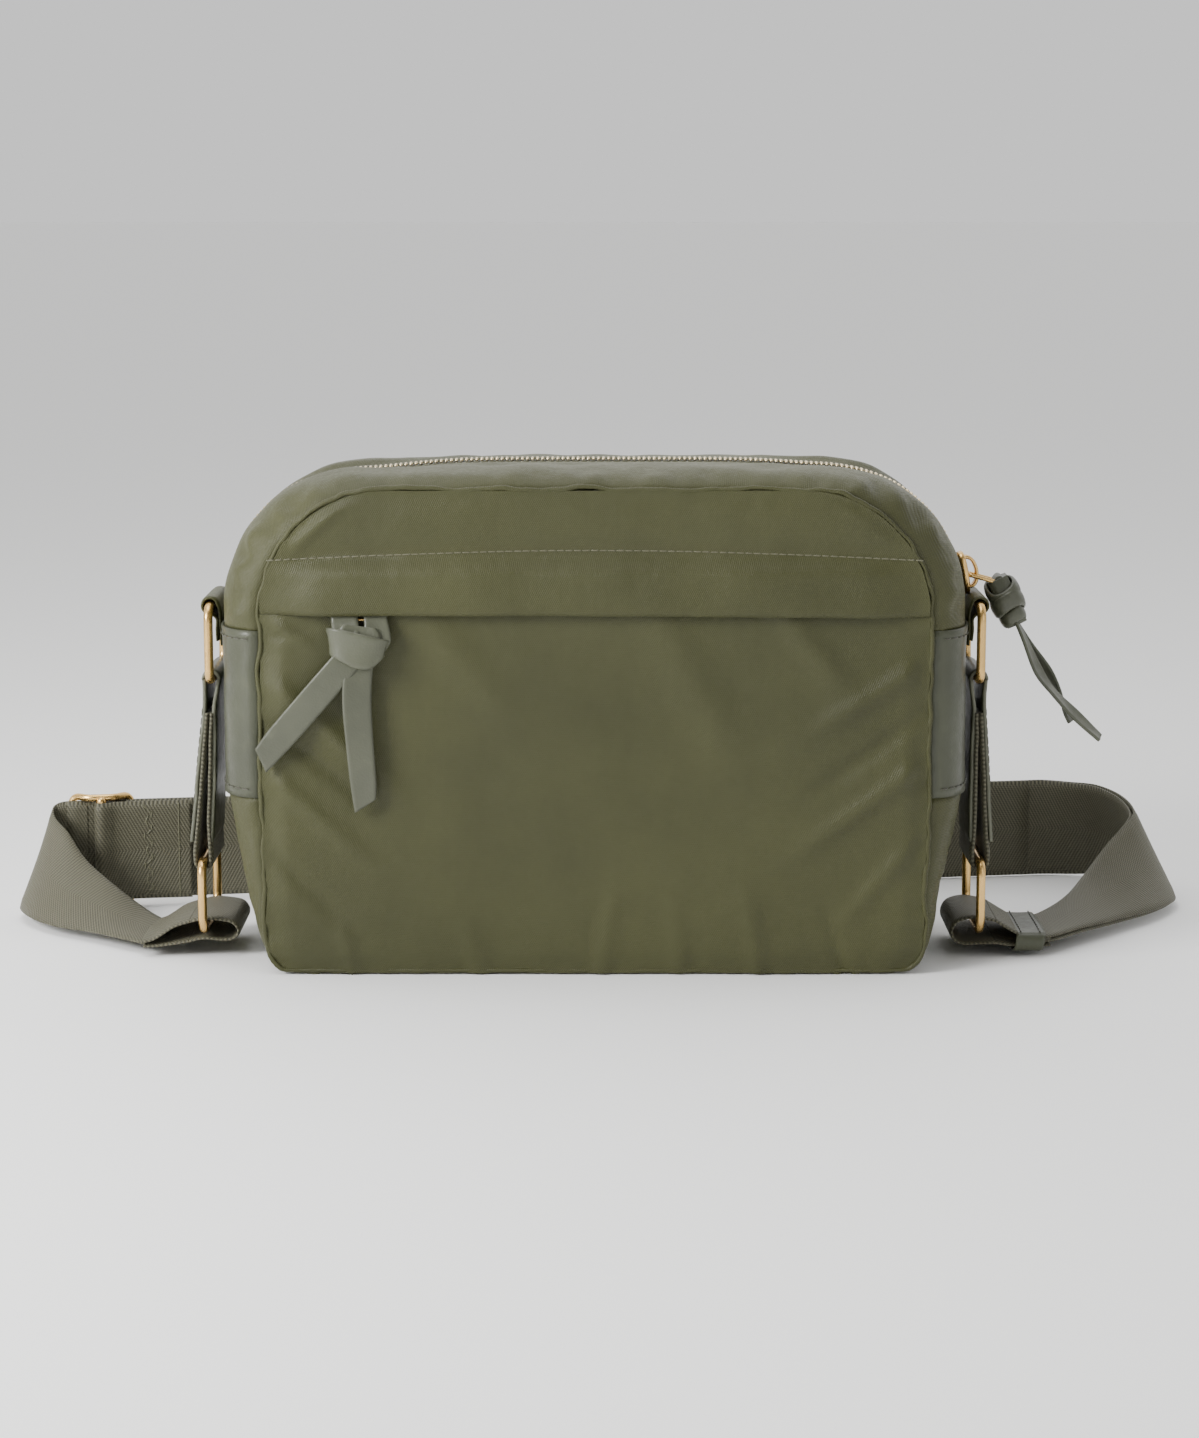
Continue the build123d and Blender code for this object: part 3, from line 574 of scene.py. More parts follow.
# ---- Small pieces repeated along a line ----
def repeat_tree():
    """Node tree that sets one small piece along lines, turned with the line and the surface under it."""
    tree = bpy.data.node_groups.new("repeat_along_line", "GeometryNodeTree")
    face = tree.interface
    for name, kind, value in (
        ("Line", "Geometry", None),
        ("Pitch", "Float", 0.003),
        ("Spread", "Float", 0.05),
        ("Piece", "Object", None),
        ("Finish", "Material", None),
        ("Seed", "Int", 7),
    ):
        socket = face.new_socket(name, in_out="INPUT", socket_type=f"NodeSocket{kind}")
        if value is not None:
            socket.default_value = value
    face.new_socket("Pieces", in_out="OUTPUT", socket_type="NodeSocketGeometry")
    new = tree.nodes.new
    start = new("NodeGroupInput").outputs
    curve = new("GeometryNodeMeshToCurve")
    spaced = new("GeometryNodeResampleCurve")
    if hasattr(spaced, "mode"):
        spaced.mode = "LENGTH"
    tangent = new("GeometryNodeInputTangent")
    along = new("FunctionNodeAlignRotationToVector")
    along.axis = "X"
    raised = new("FunctionNodeAlignRotationToVector")
    raised.axis, raised.pivot_axis = "Z", "X"
    up = new("GeometryNodeInputNamedAttribute")
    up.data_type = "FLOAT_VECTOR"
    up.inputs["Name"].default_value = "up"
    shape = new("GeometryNodeObjectInfo")
    size = new("FunctionNodeRandomValue")
    smallest, largest = [s for s in size.inputs if s.type == "VALUE"][:2]
    less, more = new("ShaderNodeMath"), new("ShaderNodeMath")
    less.operation, more.operation = "SUBTRACT", "ADD"
    less.inputs[0].default_value = more.inputs[0].default_value = 1.0
    instances = new("GeometryNodeInstanceOnPoints")
    real = new("GeometryNodeRealizeInstances")
    finish = new("GeometryNodeSetMaterial")
    end = new("NodeGroupOutput")
    for source, target in (
        (start["Line"], curve.inputs["Mesh"]),
        (curve.outputs["Curve"], spaced.inputs["Curve"]),
        (start["Pitch"], spaced.inputs["Length"]),
        (tangent.outputs[0], along.inputs["Vector"]),
        (along.outputs[0], raised.inputs["Rotation"]),
        (up.outputs["Attribute"], raised.inputs["Vector"]),
        (start["Piece"], shape.inputs["Object"]),
        (start["Spread"], less.inputs[1]),
        (start["Spread"], more.inputs[1]),
        (less.outputs[0], smallest),
        (more.outputs[0], largest),
        (start["Seed"], size.inputs["Seed"]),
        (spaced.outputs["Curve"], instances.inputs["Points"]),
        (shape.outputs["Geometry"], instances.inputs["Instance"]),
        (raised.outputs[0], instances.inputs["Rotation"]),
        ([s for s in size.outputs if s.type == "VALUE"][0], instances.inputs["Scale"]),
        (instances.outputs[0], real.inputs["Geometry"]),
        (real.outputs[0], finish.inputs["Geometry"]),
        (start["Finish"], finish.inputs["Material"]),
        (finish.outputs[0], end.inputs["Pieces"]),
    ):
        tree.links.new(source, target)
    return tree


REPEAT = repeat_tree()


def template(name, half_sizes, taper=1.0, bulge=0.35):
    """Small rounded block of a few faces, long along X, standing on Z: a stitch or a zip tooth."""
    hx, hy, hz = half_sizes
    points = []
    for x, fat in ((-1.0, 0.35), (-0.6, 1.0), (0.6, 1.0), (1.0, 0.35)):
        for cy, cz in ((1, bulge), (bulge, 1), (-bulge, 1), (-1, bulge), (-1, -bulge), (1, -bulge)):
            points.append((x * hx, cy * hy * fat * (taper if cz > 0.5 else 1.0), cz * hz * fat))
    faces = grid_faces(4, 6, False, True) + [tuple(range(6))[::-1], tuple(range(18, 24))]
    return turn_outwards(piece_from(name, points, faces, THREAD))


STITCH = template("stitch_shape", (1.36, 0.24, 0.22))
LONG_STITCH = template("long_stitch_shape", (1.5, 0.26, 0.22))
TOOTH = template("tooth_shape", (0.52, 1.25, 0.75), 0.85, 0.6)


def repeated(name, lines, shape, pitch, material, body, slot, spread=0.06, seed=7, nodes=(), bend=None):
    """Set a small piece along lines of (point, up) pairs and make one plain mesh of it."""
    mesh = bpy.data.meshes.new(name)
    points, ups, edges = [], [], []
    for line in lines:
        base = len(points)
        for point, up in line:
            points.append(tuple(Vector(point) * MM))
            ups += list(Vector(up).normalized())
        edges += [(base + i, base + i + 1) for i in range(len(line) - 1)]
    mesh.from_pydata(points, edges, [])
    mesh.attributes.new("up", "FLOAT_VECTOR", "POINT").data.foreach_set("vector", ups)
    obj = bpy.data.objects.new(name, mesh)
    bpy.context.scene.collection.objects.link(obj)
    modifier = obj.modifiers.new("repeat", "NODES")
    modifier.node_group = REPEAT
    sockets = {s.name: s.identifier for s in REPEAT.interface.items_tree if s.in_out == "INPUT"}
    values = {"Pitch": pitch * MM, "Spread": spread, "Piece": shape, "Finish": material, "Seed": seed}
    for key, value in values.items():
        modifier[sockets[key]] = value
    make_plain(obj)
    if bend:
        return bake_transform(obj)
    return place(obj, body, slot, *nodes)


# ---- Bag shape ----
PARTS = (
    ("bottom", 44), ("foot", 10), ("lower", 20), ("patch", 26), ("upper", 4), ("corner", 36), ("top", 40),
)


def outline_half(size):
    """Right half of an outline, bottom middle to top middle, with the same count on every outline."""
    half, foot, top, radius, foot_radius = size
    lean = (half - foot) / PATCH_LOW_Z
    foot_end = Vector((foot + lean * foot_radius, foot_radius))
    line = []
    for part, count in PARTS:
        for i in range(count):
            t = i / count
            if part == "bottom":
                line.append(Vector(((foot - foot_radius) * t, 0.0)))
            elif part == "foot":
                a, b = Vector((foot - foot_radius, 0.0)), Vector((foot, 0.0))
                line.append(a * (1 - t) ** 2 + b * 2 * t * (1 - t) + foot_end * t * t)
            elif part == "lower":
                line.append(foot_end.lerp(Vector((half, PATCH_LOW_Z)), t))
            elif part == "patch":
                line.append(Vector((half, PATCH_LOW_Z + (PATCH_HIGH_Z - PATCH_LOW_Z) * t)))
            elif part == "upper":
                line.append(Vector((half, PATCH_HIGH_Z + (top - radius - PATCH_HIGH_Z) * t)))
            elif part == "corner":
                turn = math.pi / 2 * t
                x, z = half - radius + radius * math.cos(turn), top - radius + radius * math.sin(turn)
                line.append(Vector((x, z)))
            else:
                line.append(Vector(((half - radius) * (1 - t), top)))
    line.append(Vector((0.0, top)))
    return line


def whole_outline(size):
    """Closed outline starting at the bottom middle, right side first."""
    right = outline_half(size)
    return right + [Vector((-p.x, p.y)) for p in reversed(right[1:-1])]


SEAM_LINE = whole_outline(SEAM)
CROWN_LINE = whole_outline(CROWN)
LOOP = len(SEAM_LINE)
MARK = {}
total = 0
for part, count in PARTS:
    MARK[part] = total
    total += count


def outwards(line, i):
    """Unit vector out of an outline at point i."""
    way = line[(i + 1) % LOOP] - line[i - 1]
    return Vector((way.y, -way.x)).normalized()


def seam_wave(x, z, face):
    """How far the face seam wanders outwards: small tucks, more of them round the corners."""
    corner = smoothstep(60.0, 100.0, abs(x)) * smoothstep(90.0, 130.0, z)
    wave = 1.15 * rough((x, 40.0 * face, z), 14.0, 3.1) + 0.85 * rough((x, 40.0 * face, z), 5.5, 8.2)
    low = smoothstep(0.0, 12.0, z)
    return wave * (0.35 + 0.45 * low + 0.5 * corner)


def corner_sag(x, z):
    """How far the crown gives way inwards at its two top corners, more on the left."""
    top = smoothstep(124.0, 158.0, z)
    left = 3.4 * math.exp(-(((x + 86.0) / 27.0) ** 2))
    right = 2.0 * math.exp(-(((x - 88.0) / 25.0) ** 2))
    return (left + right) * top


def skin_point(i, v, lift=0.0):
    """Point of the gusset at outline point i and depth share v (-1 front, 1 back)."""
    i %= LOOP
    deep = abs(v)
    crown = max(0.0, 1.0 - deep**4.5) ** 0.62
    flat = SEAM_LINE[i].lerp(CROWN_LINE[i], crown)
    out = outwards(CROWN_LINE, i)
    x, z = flat
    wave = seam_wave(SEAM_LINE[i].x, SEAM_LINE[i].y, 1.0 if v > 0 else -1.0) * deep**10
    near_seam = smoothstep(0.55, 0.9, deep) * (1.0 - deep**6)
    round_corner = 0.5 + smoothstep(70.0, 110.0, abs(x)) * smoothstep(100.0, 140.0, z)
    tuck = rough((x, v * 11.0, z), 7.0, 5.5) * 3.0 * near_seam * round_corner
    quiet = smoothstep(0.24, 0.40, deep) if z > PATCH_HIGH_Z else 1.0
    bulge = corner_sag(x, z) * 0.75 * quiet * (1.0 - deep**5)
    slack = 1.7 * rough((x, v * 40.0, z), 34.0, 1.2) + 0.9 * rough((x, v * 40.0, z), 13.0, 4.4)
    slack *= 1 - deep**3
    held = smoothstep(0.0, 6.0, abs(z - PATCH_LOW_Z)) * smoothstep(0.0, 6.0, abs(z - PATCH_HIGH_Z))
    if PATCH_LOW_Z - 1.0 < z < PATCH_HIGH_Z + 1.0:
        tuck, slack = 0.3 * tuck, 0.4 * slack
    rise = wave + (tuck + slack) * quiet * (0.35 + 0.65 * held) + lift + bulge - corner_sag(x, z)
    if z < 2.0:
        rise = min(0.0, rise)
    flat = flat + out * rise
    return Vector((flat.x, v * HALF_DEPTH, max(0.15, flat.y)))


def skin(name, first, last, depths, slot, node, material, lift=0.0, edge_roll=0.0):
    """Part of the gusset between two outline points; depths gives its two depth shares and its columns."""
    rows = last - first + 1
    v_low, v_high, columns = depths
    points = []
    for r in range(rows):
        roll = edge_roll * (math.exp(-r * 0.9) + math.exp(-(rows - 1 - r) * 0.9))
        for c in range(columns + 1):
            v = v_low + (v_high - v_low) * c / columns
            points.append(skin_point(first + r, v, lift + roll))
    place(thicken(piece_from(name, points, grid_faces(rows, columns + 1), material)), "bag", slot, node)


FIRST, LAST = MARK["patch"], MARK["upper"]
SEAM_TO_SEAM = (-1.0, 1.0, 44)
STRIP_EDGE = 0.135
skin("gusset_base", -FIRST, FIRST, SEAM_TO_SEAM, "nylon", "lower_gusset", NYLON)
for name, first in (("patch_right", FIRST), ("patch_left", LOOP - LAST)):
    skin(name, first, first + LAST - FIRST, SEAM_TO_SEAM, "leather", f"side_{name}", LEATHER_TRIM, 0.7, 0.5)
for name, columns in (("front", (-1.0, -STRIP_EDGE, 26)), ("back", (STRIP_EDGE, 1.0, 26))):
    skin(f"zip_strip_{name}", LAST, LOOP - LAST, columns, "nylon", f"zip_gusset_{name}", NYLON)


def seam_x(z):
    """Half width of the face outline at height z."""
    half, foot, top, radius, foot_radius = SEAM
    lean = (half - foot) / PATCH_LOW_Z
    if z < foot_radius:
        t = math.sqrt(max(0.0, z / foot_radius))
        start, end = foot - foot_radius, foot + lean * foot_radius
        return start * (1 - t) ** 2 + foot * 2 * t * (1 - t) + end * t * t
    if z <= top - radius:
        return min(half, foot + lean * z)
    return half - radius + math.sqrt(max(0.0, radius**2 - (z - top + radius) ** 2))


def soft_fold(x, z, start, end, width, height):
    """Height of one soft fold that runs from start to end and dies out at both."""
    a, b = Vector(start), Vector(end)
    way = b - a
    t = (Vector((x, z)) - a).dot(way) / way.length_squared
    off = (Vector((x, z)) - a - way * t).length
    fade = smoothstep(-0.25, 0.15, t) * (1.0 - smoothstep(0.55, 1.2, t))
    return 1.7 * height * fade * math.exp(-((off / (0.72 * width)) ** 2))


PANEL_FOLDS = (
    ((-114.0, 106.0), (-66.0, 62.0), 5.0, 1.3),
    ((-114.0, 90.0), (-76.0, 60.0), 4.0, -1.0),
    ((-115.0, 74.0), (-74.0, 36.0), 4.5, 1.0),
    ((-113.0, 44.0), (-80.0, 12.0), 4.0, -0.8),
    ((-115.0, 126.0), (-98.0, 117.0), 2.4, 1.1),
    ((-114.0, 119.0), (-96.0, 121.0), 2.0, -0.8),
    ((114.0, 110.0), (72.0, 84.0), 5.0, 1.2),
    ((114.0, 92.0), (70.0, 60.0), 4.5, -0.9),
    ((115.0, 76.0), (66.0, 40.0), 5.0, 1.2),
    ((115.0, 52.0), (84.0, 16.0), 4.5, 0.9),
    ((2.0, -4.0), (8.0, 36.0), 3.2, 0.8),
    ((30.0, -4.0), (27.0, 28.0), 2.8, 0.8),
    ((58.0, -4.0), (52.0, 34.0), 3.4, 0.9),
    ((88.0, -4.0), (80.0, 26.0), 3.2, -0.8),
    ((-40.0, -4.0), (-46.0, 24.0), 3.6, 0.6),
    ((-84.0, -4.0), (-88.0, 20.0), 3.0, 0.6),
    ((-62.0, 130.0), (-30.0, 92.0), 8.0, 0.7),
    ((20.0, 130.0), (52.0, 70.0), 10.0, 0.8),
    ((62.0, 130.0), (90.0, 96.0), 6.0, 0.8),
)
BACK_FOLDS = (
    ((-110.0, 120.0), (-60.0, 70.0), 9.0, 0.6),
    ((108.0, 60.0), (66.0, 18.0), 8.0, 0.6),
    ((10.0, 150.0), (-16.0, 100.0), 11.0, -0.5),
)


def face_rows(low, high):
    """Heights of a face panel's rows, closer together where its outline turns."""
    rows, z = [], low
    while z < high:
        rows.append(z)
        near = min(abs(z), abs(SEAM_TOP - z))
        z += 0.35 if near < 1.0 else 0.8 if near < 4.0 else 1.6
    return rows + [high]


def face_panel(name, face, low, high, depth_at, node, drop=lambda x, z: 0.0):
    """Face panel sewn in along the seam outline; depth_at(x, z, a) says how far it stands out."""
    columns = 120
    rows = face_rows(low, high)
    points = []
    for z in rows:
        half = seam_x(z)
        half += seam_wave(half, z, face) * 0.6
        for j in range(columns + 1):
            a = math.sin(math.pi / 2 * (2 * j / columns - 1))
            x = a * half
            points.append((x, face * depth_at(x, z, a), max(0.2, z - drop(x, z))))
    obj = piece_from(name, points, grid_faces(len(rows), columns + 1), NYLON)
    if face > 0:
        obj.data.flip_normals()
    place(thicken(obj), "bag", "nylon", node)


def sewn_edge(x, z, low=0.0, high=SEAM_TOP):
    """Share from 0 at the face seam to 1 a little inside it."""
    side = seam_x(z) - abs(x)
    inside = smoothstep(0.0, 9.0, side) * smoothstep(low, low + 9.0, z)
    return inside * (1.0 - smoothstep(high - 9.0, high, z))


def tucks(x, z, face):
    """Short puckers that stand square to the side and bottom seams."""
    side = seam_x(z) - abs(x)
    by_side = math.exp(-side / 7.0) * rough((0.25 * x, face * 30.0, z), 6.0, 2.2)
    by_foot = math.exp(-z / 6.0) * rough((x, face * 30.0, 0.25 * z), 7.0, 6.1)
    return 2.0 * by_side + 1.3 * by_foot


def lower_depth(x, z, a):
    puff = 1.9 * sewn_edge(x, z, 0.0, 134.0) * (0.75 + 0.25 * math.cos(math.pi * (z - 62.0) / 150.0))
    folds = sum(soft_fold(x, z, *fold) for fold in PANEL_FOLDS)
    slack = 1.0 * rough((x, 0.0, z), 42.0, 9.3) + 0.3 * rough((x, 0.0, z), 15.0, 2.7)
    return HALF_DEPTH + 0.7 + puff + (folds + slack) * sewn_edge(x, z, -6.0, 140.0) + 0.6 * tucks(x, z, -1.0)


def flap_drop(x, z):
    """How far the flap's lower edge hangs below its straight line, a little more at its right end."""
    hang = 0.7 + 0.9 * smoothstep(-20.0, 112.0, x) + 0.3 * rough((x, 0.0, 0.0), 26.0, 4.9)
    return hang * (1.0 - smoothstep(FLAP_LOW, FLAP_LOW + 12.0, z))


def yoke_depth(x, z, a):
    sewn = HALF_DEPTH + 0.9 + 1.0 * sewn_edge(x, z, FLAP_SEWN, SEAM_TOP)
    open_share = smoothstep(FLAP_SEWN + 1.0, 139.0, z)
    ends = 1.0 - smoothstep(0.80, 1.0, abs(a)) * 0.85
    rise = 4.4 * (1.0 - smoothstep(140.0, FLAP_SEWN + 0.6, z)) + 1.3 * (1.0 - smoothstep(FLAP_LOW, 142.0, z))
    edge = 0.35 * rough((x, 0.0, 0.35 * z), 24.0, 7.7) * (1.0 - smoothstep(128.0, 150.0, z))
    fold = 0.8 * rough((x, 0.0, z), 34.0, 2.9) + 0.3 * rough((x, 0.0, z), 13.0, 6.4)
    fold += soft_fold(x, z, (-104.0, 150.0), (-84.0, 168.0), 4.0, 0.9)
    folds = fold * sewn_edge(x, z, FLAP_LOW, SEAM_TOP)
    return sewn + rise * ends + edge + folds + 0.5 * tucks(x, z, -1.0) * (1.0 - open_share)


def back_depth(x, z, a):
    folds = sum(soft_fold(x, z, *fold) for fold in BACK_FOLDS)
    slack = 0.7 * rough((x, 90.0, z), 46.0, 5.3)
    return HALF_DEPTH + 0.7 + (2.2 + folds + slack) * sewn_edge(x, z) + 0.8 * tucks(x, z, 1.0)


face_panel("lower_front", -1.0, 0.0, 133.0, lower_depth, "front_lower_panel")
face_panel("flap", -1.0, FLAP_LOW, SEAM_TOP, yoke_depth, "front_yoke_flap", flap_drop)
face_panel("rear", 1.0, 0.0, SEAM_TOP, back_depth, "back_panel")


def piping(name, face, node):
    """Rolled seam allowance that stands along the face seam."""
    line = []
    for i in range(LOOP):
        base = SEAM_LINE[i]
        out = outwards(SEAM_LINE, i)
        flat = base + out * (0.5 + seam_wave(base.x, base.y, face))
        depth = HALF_DEPTH + 0.2 + 0.4 * rough((base.x, face * 9.0, base.y), 9.0, 1.1)
        line.append(Vector((flat.x, face * depth, max(1.15, flat.y))))
    obj = tube(name, line, lambda t: 0.85 + 0.3 * rough((t * 900.0, face, 0.0), 9.0, 3.3), NYLON, 8, True)
    return place(obj, "bag", "nylon", node)


piping("seam_roll_front", -1.0, "front_welt")
piping("seam_roll_back", 1.0, "back_welt")


# ---- Stitch rows on the bag ----
def row_on_face(x_range, z_at, depth_at, face=-1.0, proud=0.12, count=90):
    line = []
    for i in range(count):
        x = x_range[0] + (x_range[1] - x_range[0]) * i / (count - 1)
        z = z_at(x)
        a = max(-1.0, min(1.0, x / seam_x(z)))
        line.append(((x, face * (depth_at(x, z, a) + proud), z), (0.0, face, 0.0)))
    return line


def row_on_skin(i_range, v_at, lift, across=False, count=60):
    """Stitch line on the gusset: along the outline, or across the depth at one outline point."""
    line = []
    for k in range(count):
        t = k / (count - 1)
        if across:
            i, v = i_range[0], v_at[0] + (v_at[1] - v_at[0]) * t
        else:
            i, v = i_range[0] + (i_range[1] - i_range[0]) * t, v_at[0]
        a, b = skin_point(int(i), v, lift), skin_point(int(i) + 1, v, lift)
        point = a.lerp(b, i - int(i))
        out = outwards(CROWN_LINE, int(i) % LOOP)
        line.append((point, (out.x, 0.0, out.y)))
    return line


flap_row = row_on_face((-111.0, 111.0), lambda x: 145.0 + 3.6 * math.cos(x / 115.0 * math.pi / 2), yoke_depth)
repeated("flap_stitches", [flap_row], STITCH, 2.9, THREAD, "bag", "nylon")
patch_rows = []
for first in (FIRST, LOOP - LAST):
    for offset in (1.3, LAST - FIRST - 1.3):
        patch_rows.append(row_on_skin((first + offset,), (-0.96, 0.96), 1.1, True))
repeated("patch_stitches", patch_rows, LONG_STITCH, 3.6, DARK_THREAD, "bag", "leather", seed=3)
strip_rows = [
    row_on_skin((LAST + 1, LOOP - LAST - 1), (side * 0.185,), 0.12, count=240) for side in (-1.0, 1.0)
]
repeated("zip_edge_stitches", strip_rows, STITCH, 2.9, THREAD, "bag", "nylon", seed=5)


# ---- Zips ----
def crown_line(first, last, y, lift, count):
    line = []
    for k in range(count):
        i = first + (last - first) * k / (count - 1)
        a, b = CROWN_LINE[int(i) % LOOP], CROWN_LINE[(int(i) + 1) % LOOP]
        out = outwards(CROWN_LINE, int(i) % LOOP)
        flat = a.lerp(b, i - int(i))
        flat = flat + out * (lift - corner_sag(flat.x, flat.y))
        line.append((Vector((flat.x, y, flat.y)), (out.x, 0.0, out.y)))
    return line


for name, side in (("front", -1.0), ("back", 1.0)):
    inner_line = crown_line(LAST, LOOP - LAST, side * 1.5, -0.45, 200)
    outer_line = crown_line(LAST, LOOP - LAST, side * 9.4, -0.7, 200)
    edges = [(a, b) if side > 0 else (b, a) for (a, _), (b, _) in zip(inner_line, outer_line)]
    place(band(f"zip_tape_{name}", edges, 0.5, TAPE, 1), "bag", "zip_tape", f"main_zip_tape_{name}")
# The second row of teeth starts a little later, so that the rows interlock
teeth_rows = [
    crown_line(LAST + 3 + shift, LOOP - LAST - 3, off, 0.35, 400)
    for off, shift in ((-TOOTH_OFF, 0.0), (TOOTH_OFF, 0.12))
]
front_rows = []
for off, shift in ((-TOOTH_OFF, 0.0), (TOOTH_OFF, 0.9)):
    y, z = CHAIN_LOW.y + 0.4, ZIP_Z + off
    across = (1.0 - CHAIN_HIGH.x + shift, 0.0, CHAIN_HIGH.x - 1.0)
    front_rows.append([((x, y, z), (0.0, -1.0, 0.0)) for x in across])
for where, rows, seed in (("main", teeth_rows, 9), ("front", front_rows, 2)):
    chain = [f"{where}_zip_chain"]
    repeated(f"{where}_teeth", rows, TOOTH, TOOTH_PITCH, TEETH_METAL, "bag", "zip_teeth", 0.03, seed, chain)


# ---- Metal: rings keep their frame shapes, sliders, links and adjuster ----
def finish_node(name, material):
    """Give a carried-over frame piece its finish."""
    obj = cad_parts[name]
    if not obj.material_slots:
        obj.data.materials.append(material)
    for slot in obj.material_slots:
        slot.material = material


for side in SIDES:
    finish_node(f"upper_ring_{side}", GOLD)
    finish_node(f"lower_ring_{side}", GOLD)
finish_node("front_zip_slider", GOLD)
for name in ("front_zip_stops", "main_zip_stops"):
    finish_node(name, TEETH_METAL)
for name in ("front_zip_tape_lower", "front_zip_tape_upper"):
    finish_node(name, TAPE)
for name in ("front_pocket_backing", "lining", "inner_slip_pocket"):
    finish_node(name, LINING)
finish_node("base_board", BOARD)

ARC_X = CROWN_HALF - CROWN_RADIUS
ARC_Z = CROWN_TOP - CROWN_RADIUS
SLIDER_TURN = math.radians(11.0)
RADIAL = Vector((math.cos(SLIDER_TURN), 0.0, math.sin(SLIDER_TURN)))
ALONG = Vector((-math.sin(SLIDER_TURN), 0.0, math.cos(SLIDER_TURN)))
ARC_MIDDLE = Vector((ARC_X, 0.0, ARC_Z))


def slider_place(s, y, h):
    """Point s along the zip from the slider's middle, y across it and h above the teeth's line."""
    turn = SLIDER_TURN + s / CROWN_RADIUS
    way = Vector((math.cos(turn), 0.0, math.sin(turn)))
    return ARC_MIDDLE + way * (CROWN_RADIUS + h) + Vector((0.0, y, 0.0))


def slider_plate(name, low, high, length, wide, narrow):
    """One curved plate of the slider: shoulders at its upper end, narrower tail, soft edges."""
    levels = ((low, 0.82), (low + 0.35, 1.0), (high - 0.45, 1.0), (high - 0.1, 0.86), (high, 0.6))
    sides = 28
    points = []
    for h, size in levels:
        for k in range(sides):
            turn = math.tau * k / sides
            c, s = math.cos(turn), math.sin(turn)
            x = math.copysign(abs(c) ** 0.6, c) * length / 2 * (0.5 + size / 2)
            width = wide + (narrow - wide) * smoothstep(-length / 2, length / 2, -x)
            y = math.copysign(abs(s) ** 0.6, s) * width / 2 * size
            points.append(slider_place(x, y, h))
    faces = grid_faces(len(levels), sides, False, True)
    faces += [tuple(range(sides))[::-1], tuple((len(levels) - 1) * sides + k for k in range(sides))]
    return turn_outwards(piece_from(name, points, faces, GOLD))


plate = slider_plate("zip_slider_top", 1.2, 3.7, 14.6, 10.8, 7.8)
place(plate, "main_slider", "gold_metal", "main_zip_slider")
place(slider_plate("zip_slider_under", -2.6, -1.75, 13.6, 10.0, 7.2), "main_slider", "gold_metal")
bridge_path = [(-4.9, 2.9), (-4.6, 4.8), (-3.0, 6.2), (0.2, 6.7), (3.2, 6.1), (4.8, 4.6), (5.1, 2.9)]
bridge_edges = [(slider_place(a, -2.2, h), slider_place(a, 2.2, h)) for a, h in bridge_path]
place(band("zip_slider_bridge", bridge_edges, 1.2, GOLD, 6), "main_slider", "gold_metal")


def wire_loop(name, start, end, half_width, across, wire):
    """Rounded wire link from a bar at start to a bar at end."""
    way = (end - start).normalized()
    corner = 1.3
    line = []
    length = (end - start).length
    for cx, cy, first in ((length, 1, 90), (length, -1, 0), (0.0, -1, -90), (0.0, 1, -180)):
        for k in range(6):
            turn = math.radians(first - 18.0 * k)
            x = cx - math.copysign(corner, cx - 0.5) + corner * math.cos(turn)
            y = cy * (half_width - corner) + corner * math.sin(turn)
            line.append(start + way * x + across * y)
    return tube(name, line, wire / 2, GOLD, 10, True)


def box_middle(name):
    low, high = node_box(name)
    return (low + high) / 2


SIDE_WAY = Vector((1.0, 0.0, 0.0))
DEPTH_WAY = Vector((0.0, 1.0, 0.0))
main_pivot = ARC_MIDDLE + RADIAL * (CROWN_RADIUS + 3.6) - ALONG * 0.8
MAIN_KNOT_TOP = Vector((143.4, 0.0, 132.6))
link = wire_loop("pull_link_main", main_pivot, MAIN_KNOT_TOP, 3.2, DEPTH_WAY, 1.5)
place(link, "main_pull", "gold_metal", "main_zip_link")
FRONT_HOOK = Vector((-80.0, -46.0, 137.0))
FRONT_KNOT_TOP = Vector((-80.0, -46.9, 125.2))
link = wire_loop("pull_link_front", FRONT_HOOK, FRONT_KNOT_TOP, 4.0, SIDE_WAY, 1.0)
place(link, "front_slider", "gold_metal", "front_zip_link")


# ---- Knotted leather pulls ----
def strip(name, centres, widths, across, thickness, material, body, nodes=(), steps=7, cup=0.0):
    """Leather strip along centres with its own width and crosswise direction at each."""
    if not isinstance(across, list):
        across = [across] * len(centres)
    edges = [
        (Vector(c) - Vector(a).normalized() * w / 2, Vector(c) + Vector(a).normalized() * w / 2)
        for c, w, a in zip(centres, widths, across)
    ]
    return place(band(name, edges, thickness, material, steps, 0.0, cup), body, "leather", *nodes)


def wrap_loop(name, middle, across, out, down, half_width, half_depth, height, tilt, body, nodes=()):
    """Wide leather strip wound once round the knot, pinched at its sides and rolled at its hems."""
    edges = []
    count = 14
    for k in range(count):
        turn = math.tau * k / count
        c, s = math.cos(turn), math.sin(turn)
        x = math.copysign(abs(c) ** 0.75, c) * half_width
        y = math.copysign(abs(s) ** 0.8, s) * half_depth
        tall = height * (0.5 + 0.5 * (1.0 - 0.28 * abs(c) ** 2))
        centre = middle + across * x + out * y + down * (tilt * x + 0.5 * math.sin(2 * turn))
        waist = 1.0 - 0.12 * abs(c)
        edges.append(
            (
                middle + (centre + down * tall / 2 - middle) * waist,
                middle + (centre - down * tall / 2 - middle) * 0.97,
            )
        )
    loop = band(name, edges, 1.3, LACE_LEATHER_PAINTED_LIT, 6, 0.0, 0.7, True)
    return place(loop, body, "leather", *nodes)


def leather_band(name, edges, body, nodes=(), thickness=1.1, closed=False, cup=0.15):
    """Flat leather strip given by its edges."""
    return place(band(name, edges, thickness, LACE_LEATHER_PAINTED_LIT, 7, 0.0, cup, closed), body, "leather", *nodes)


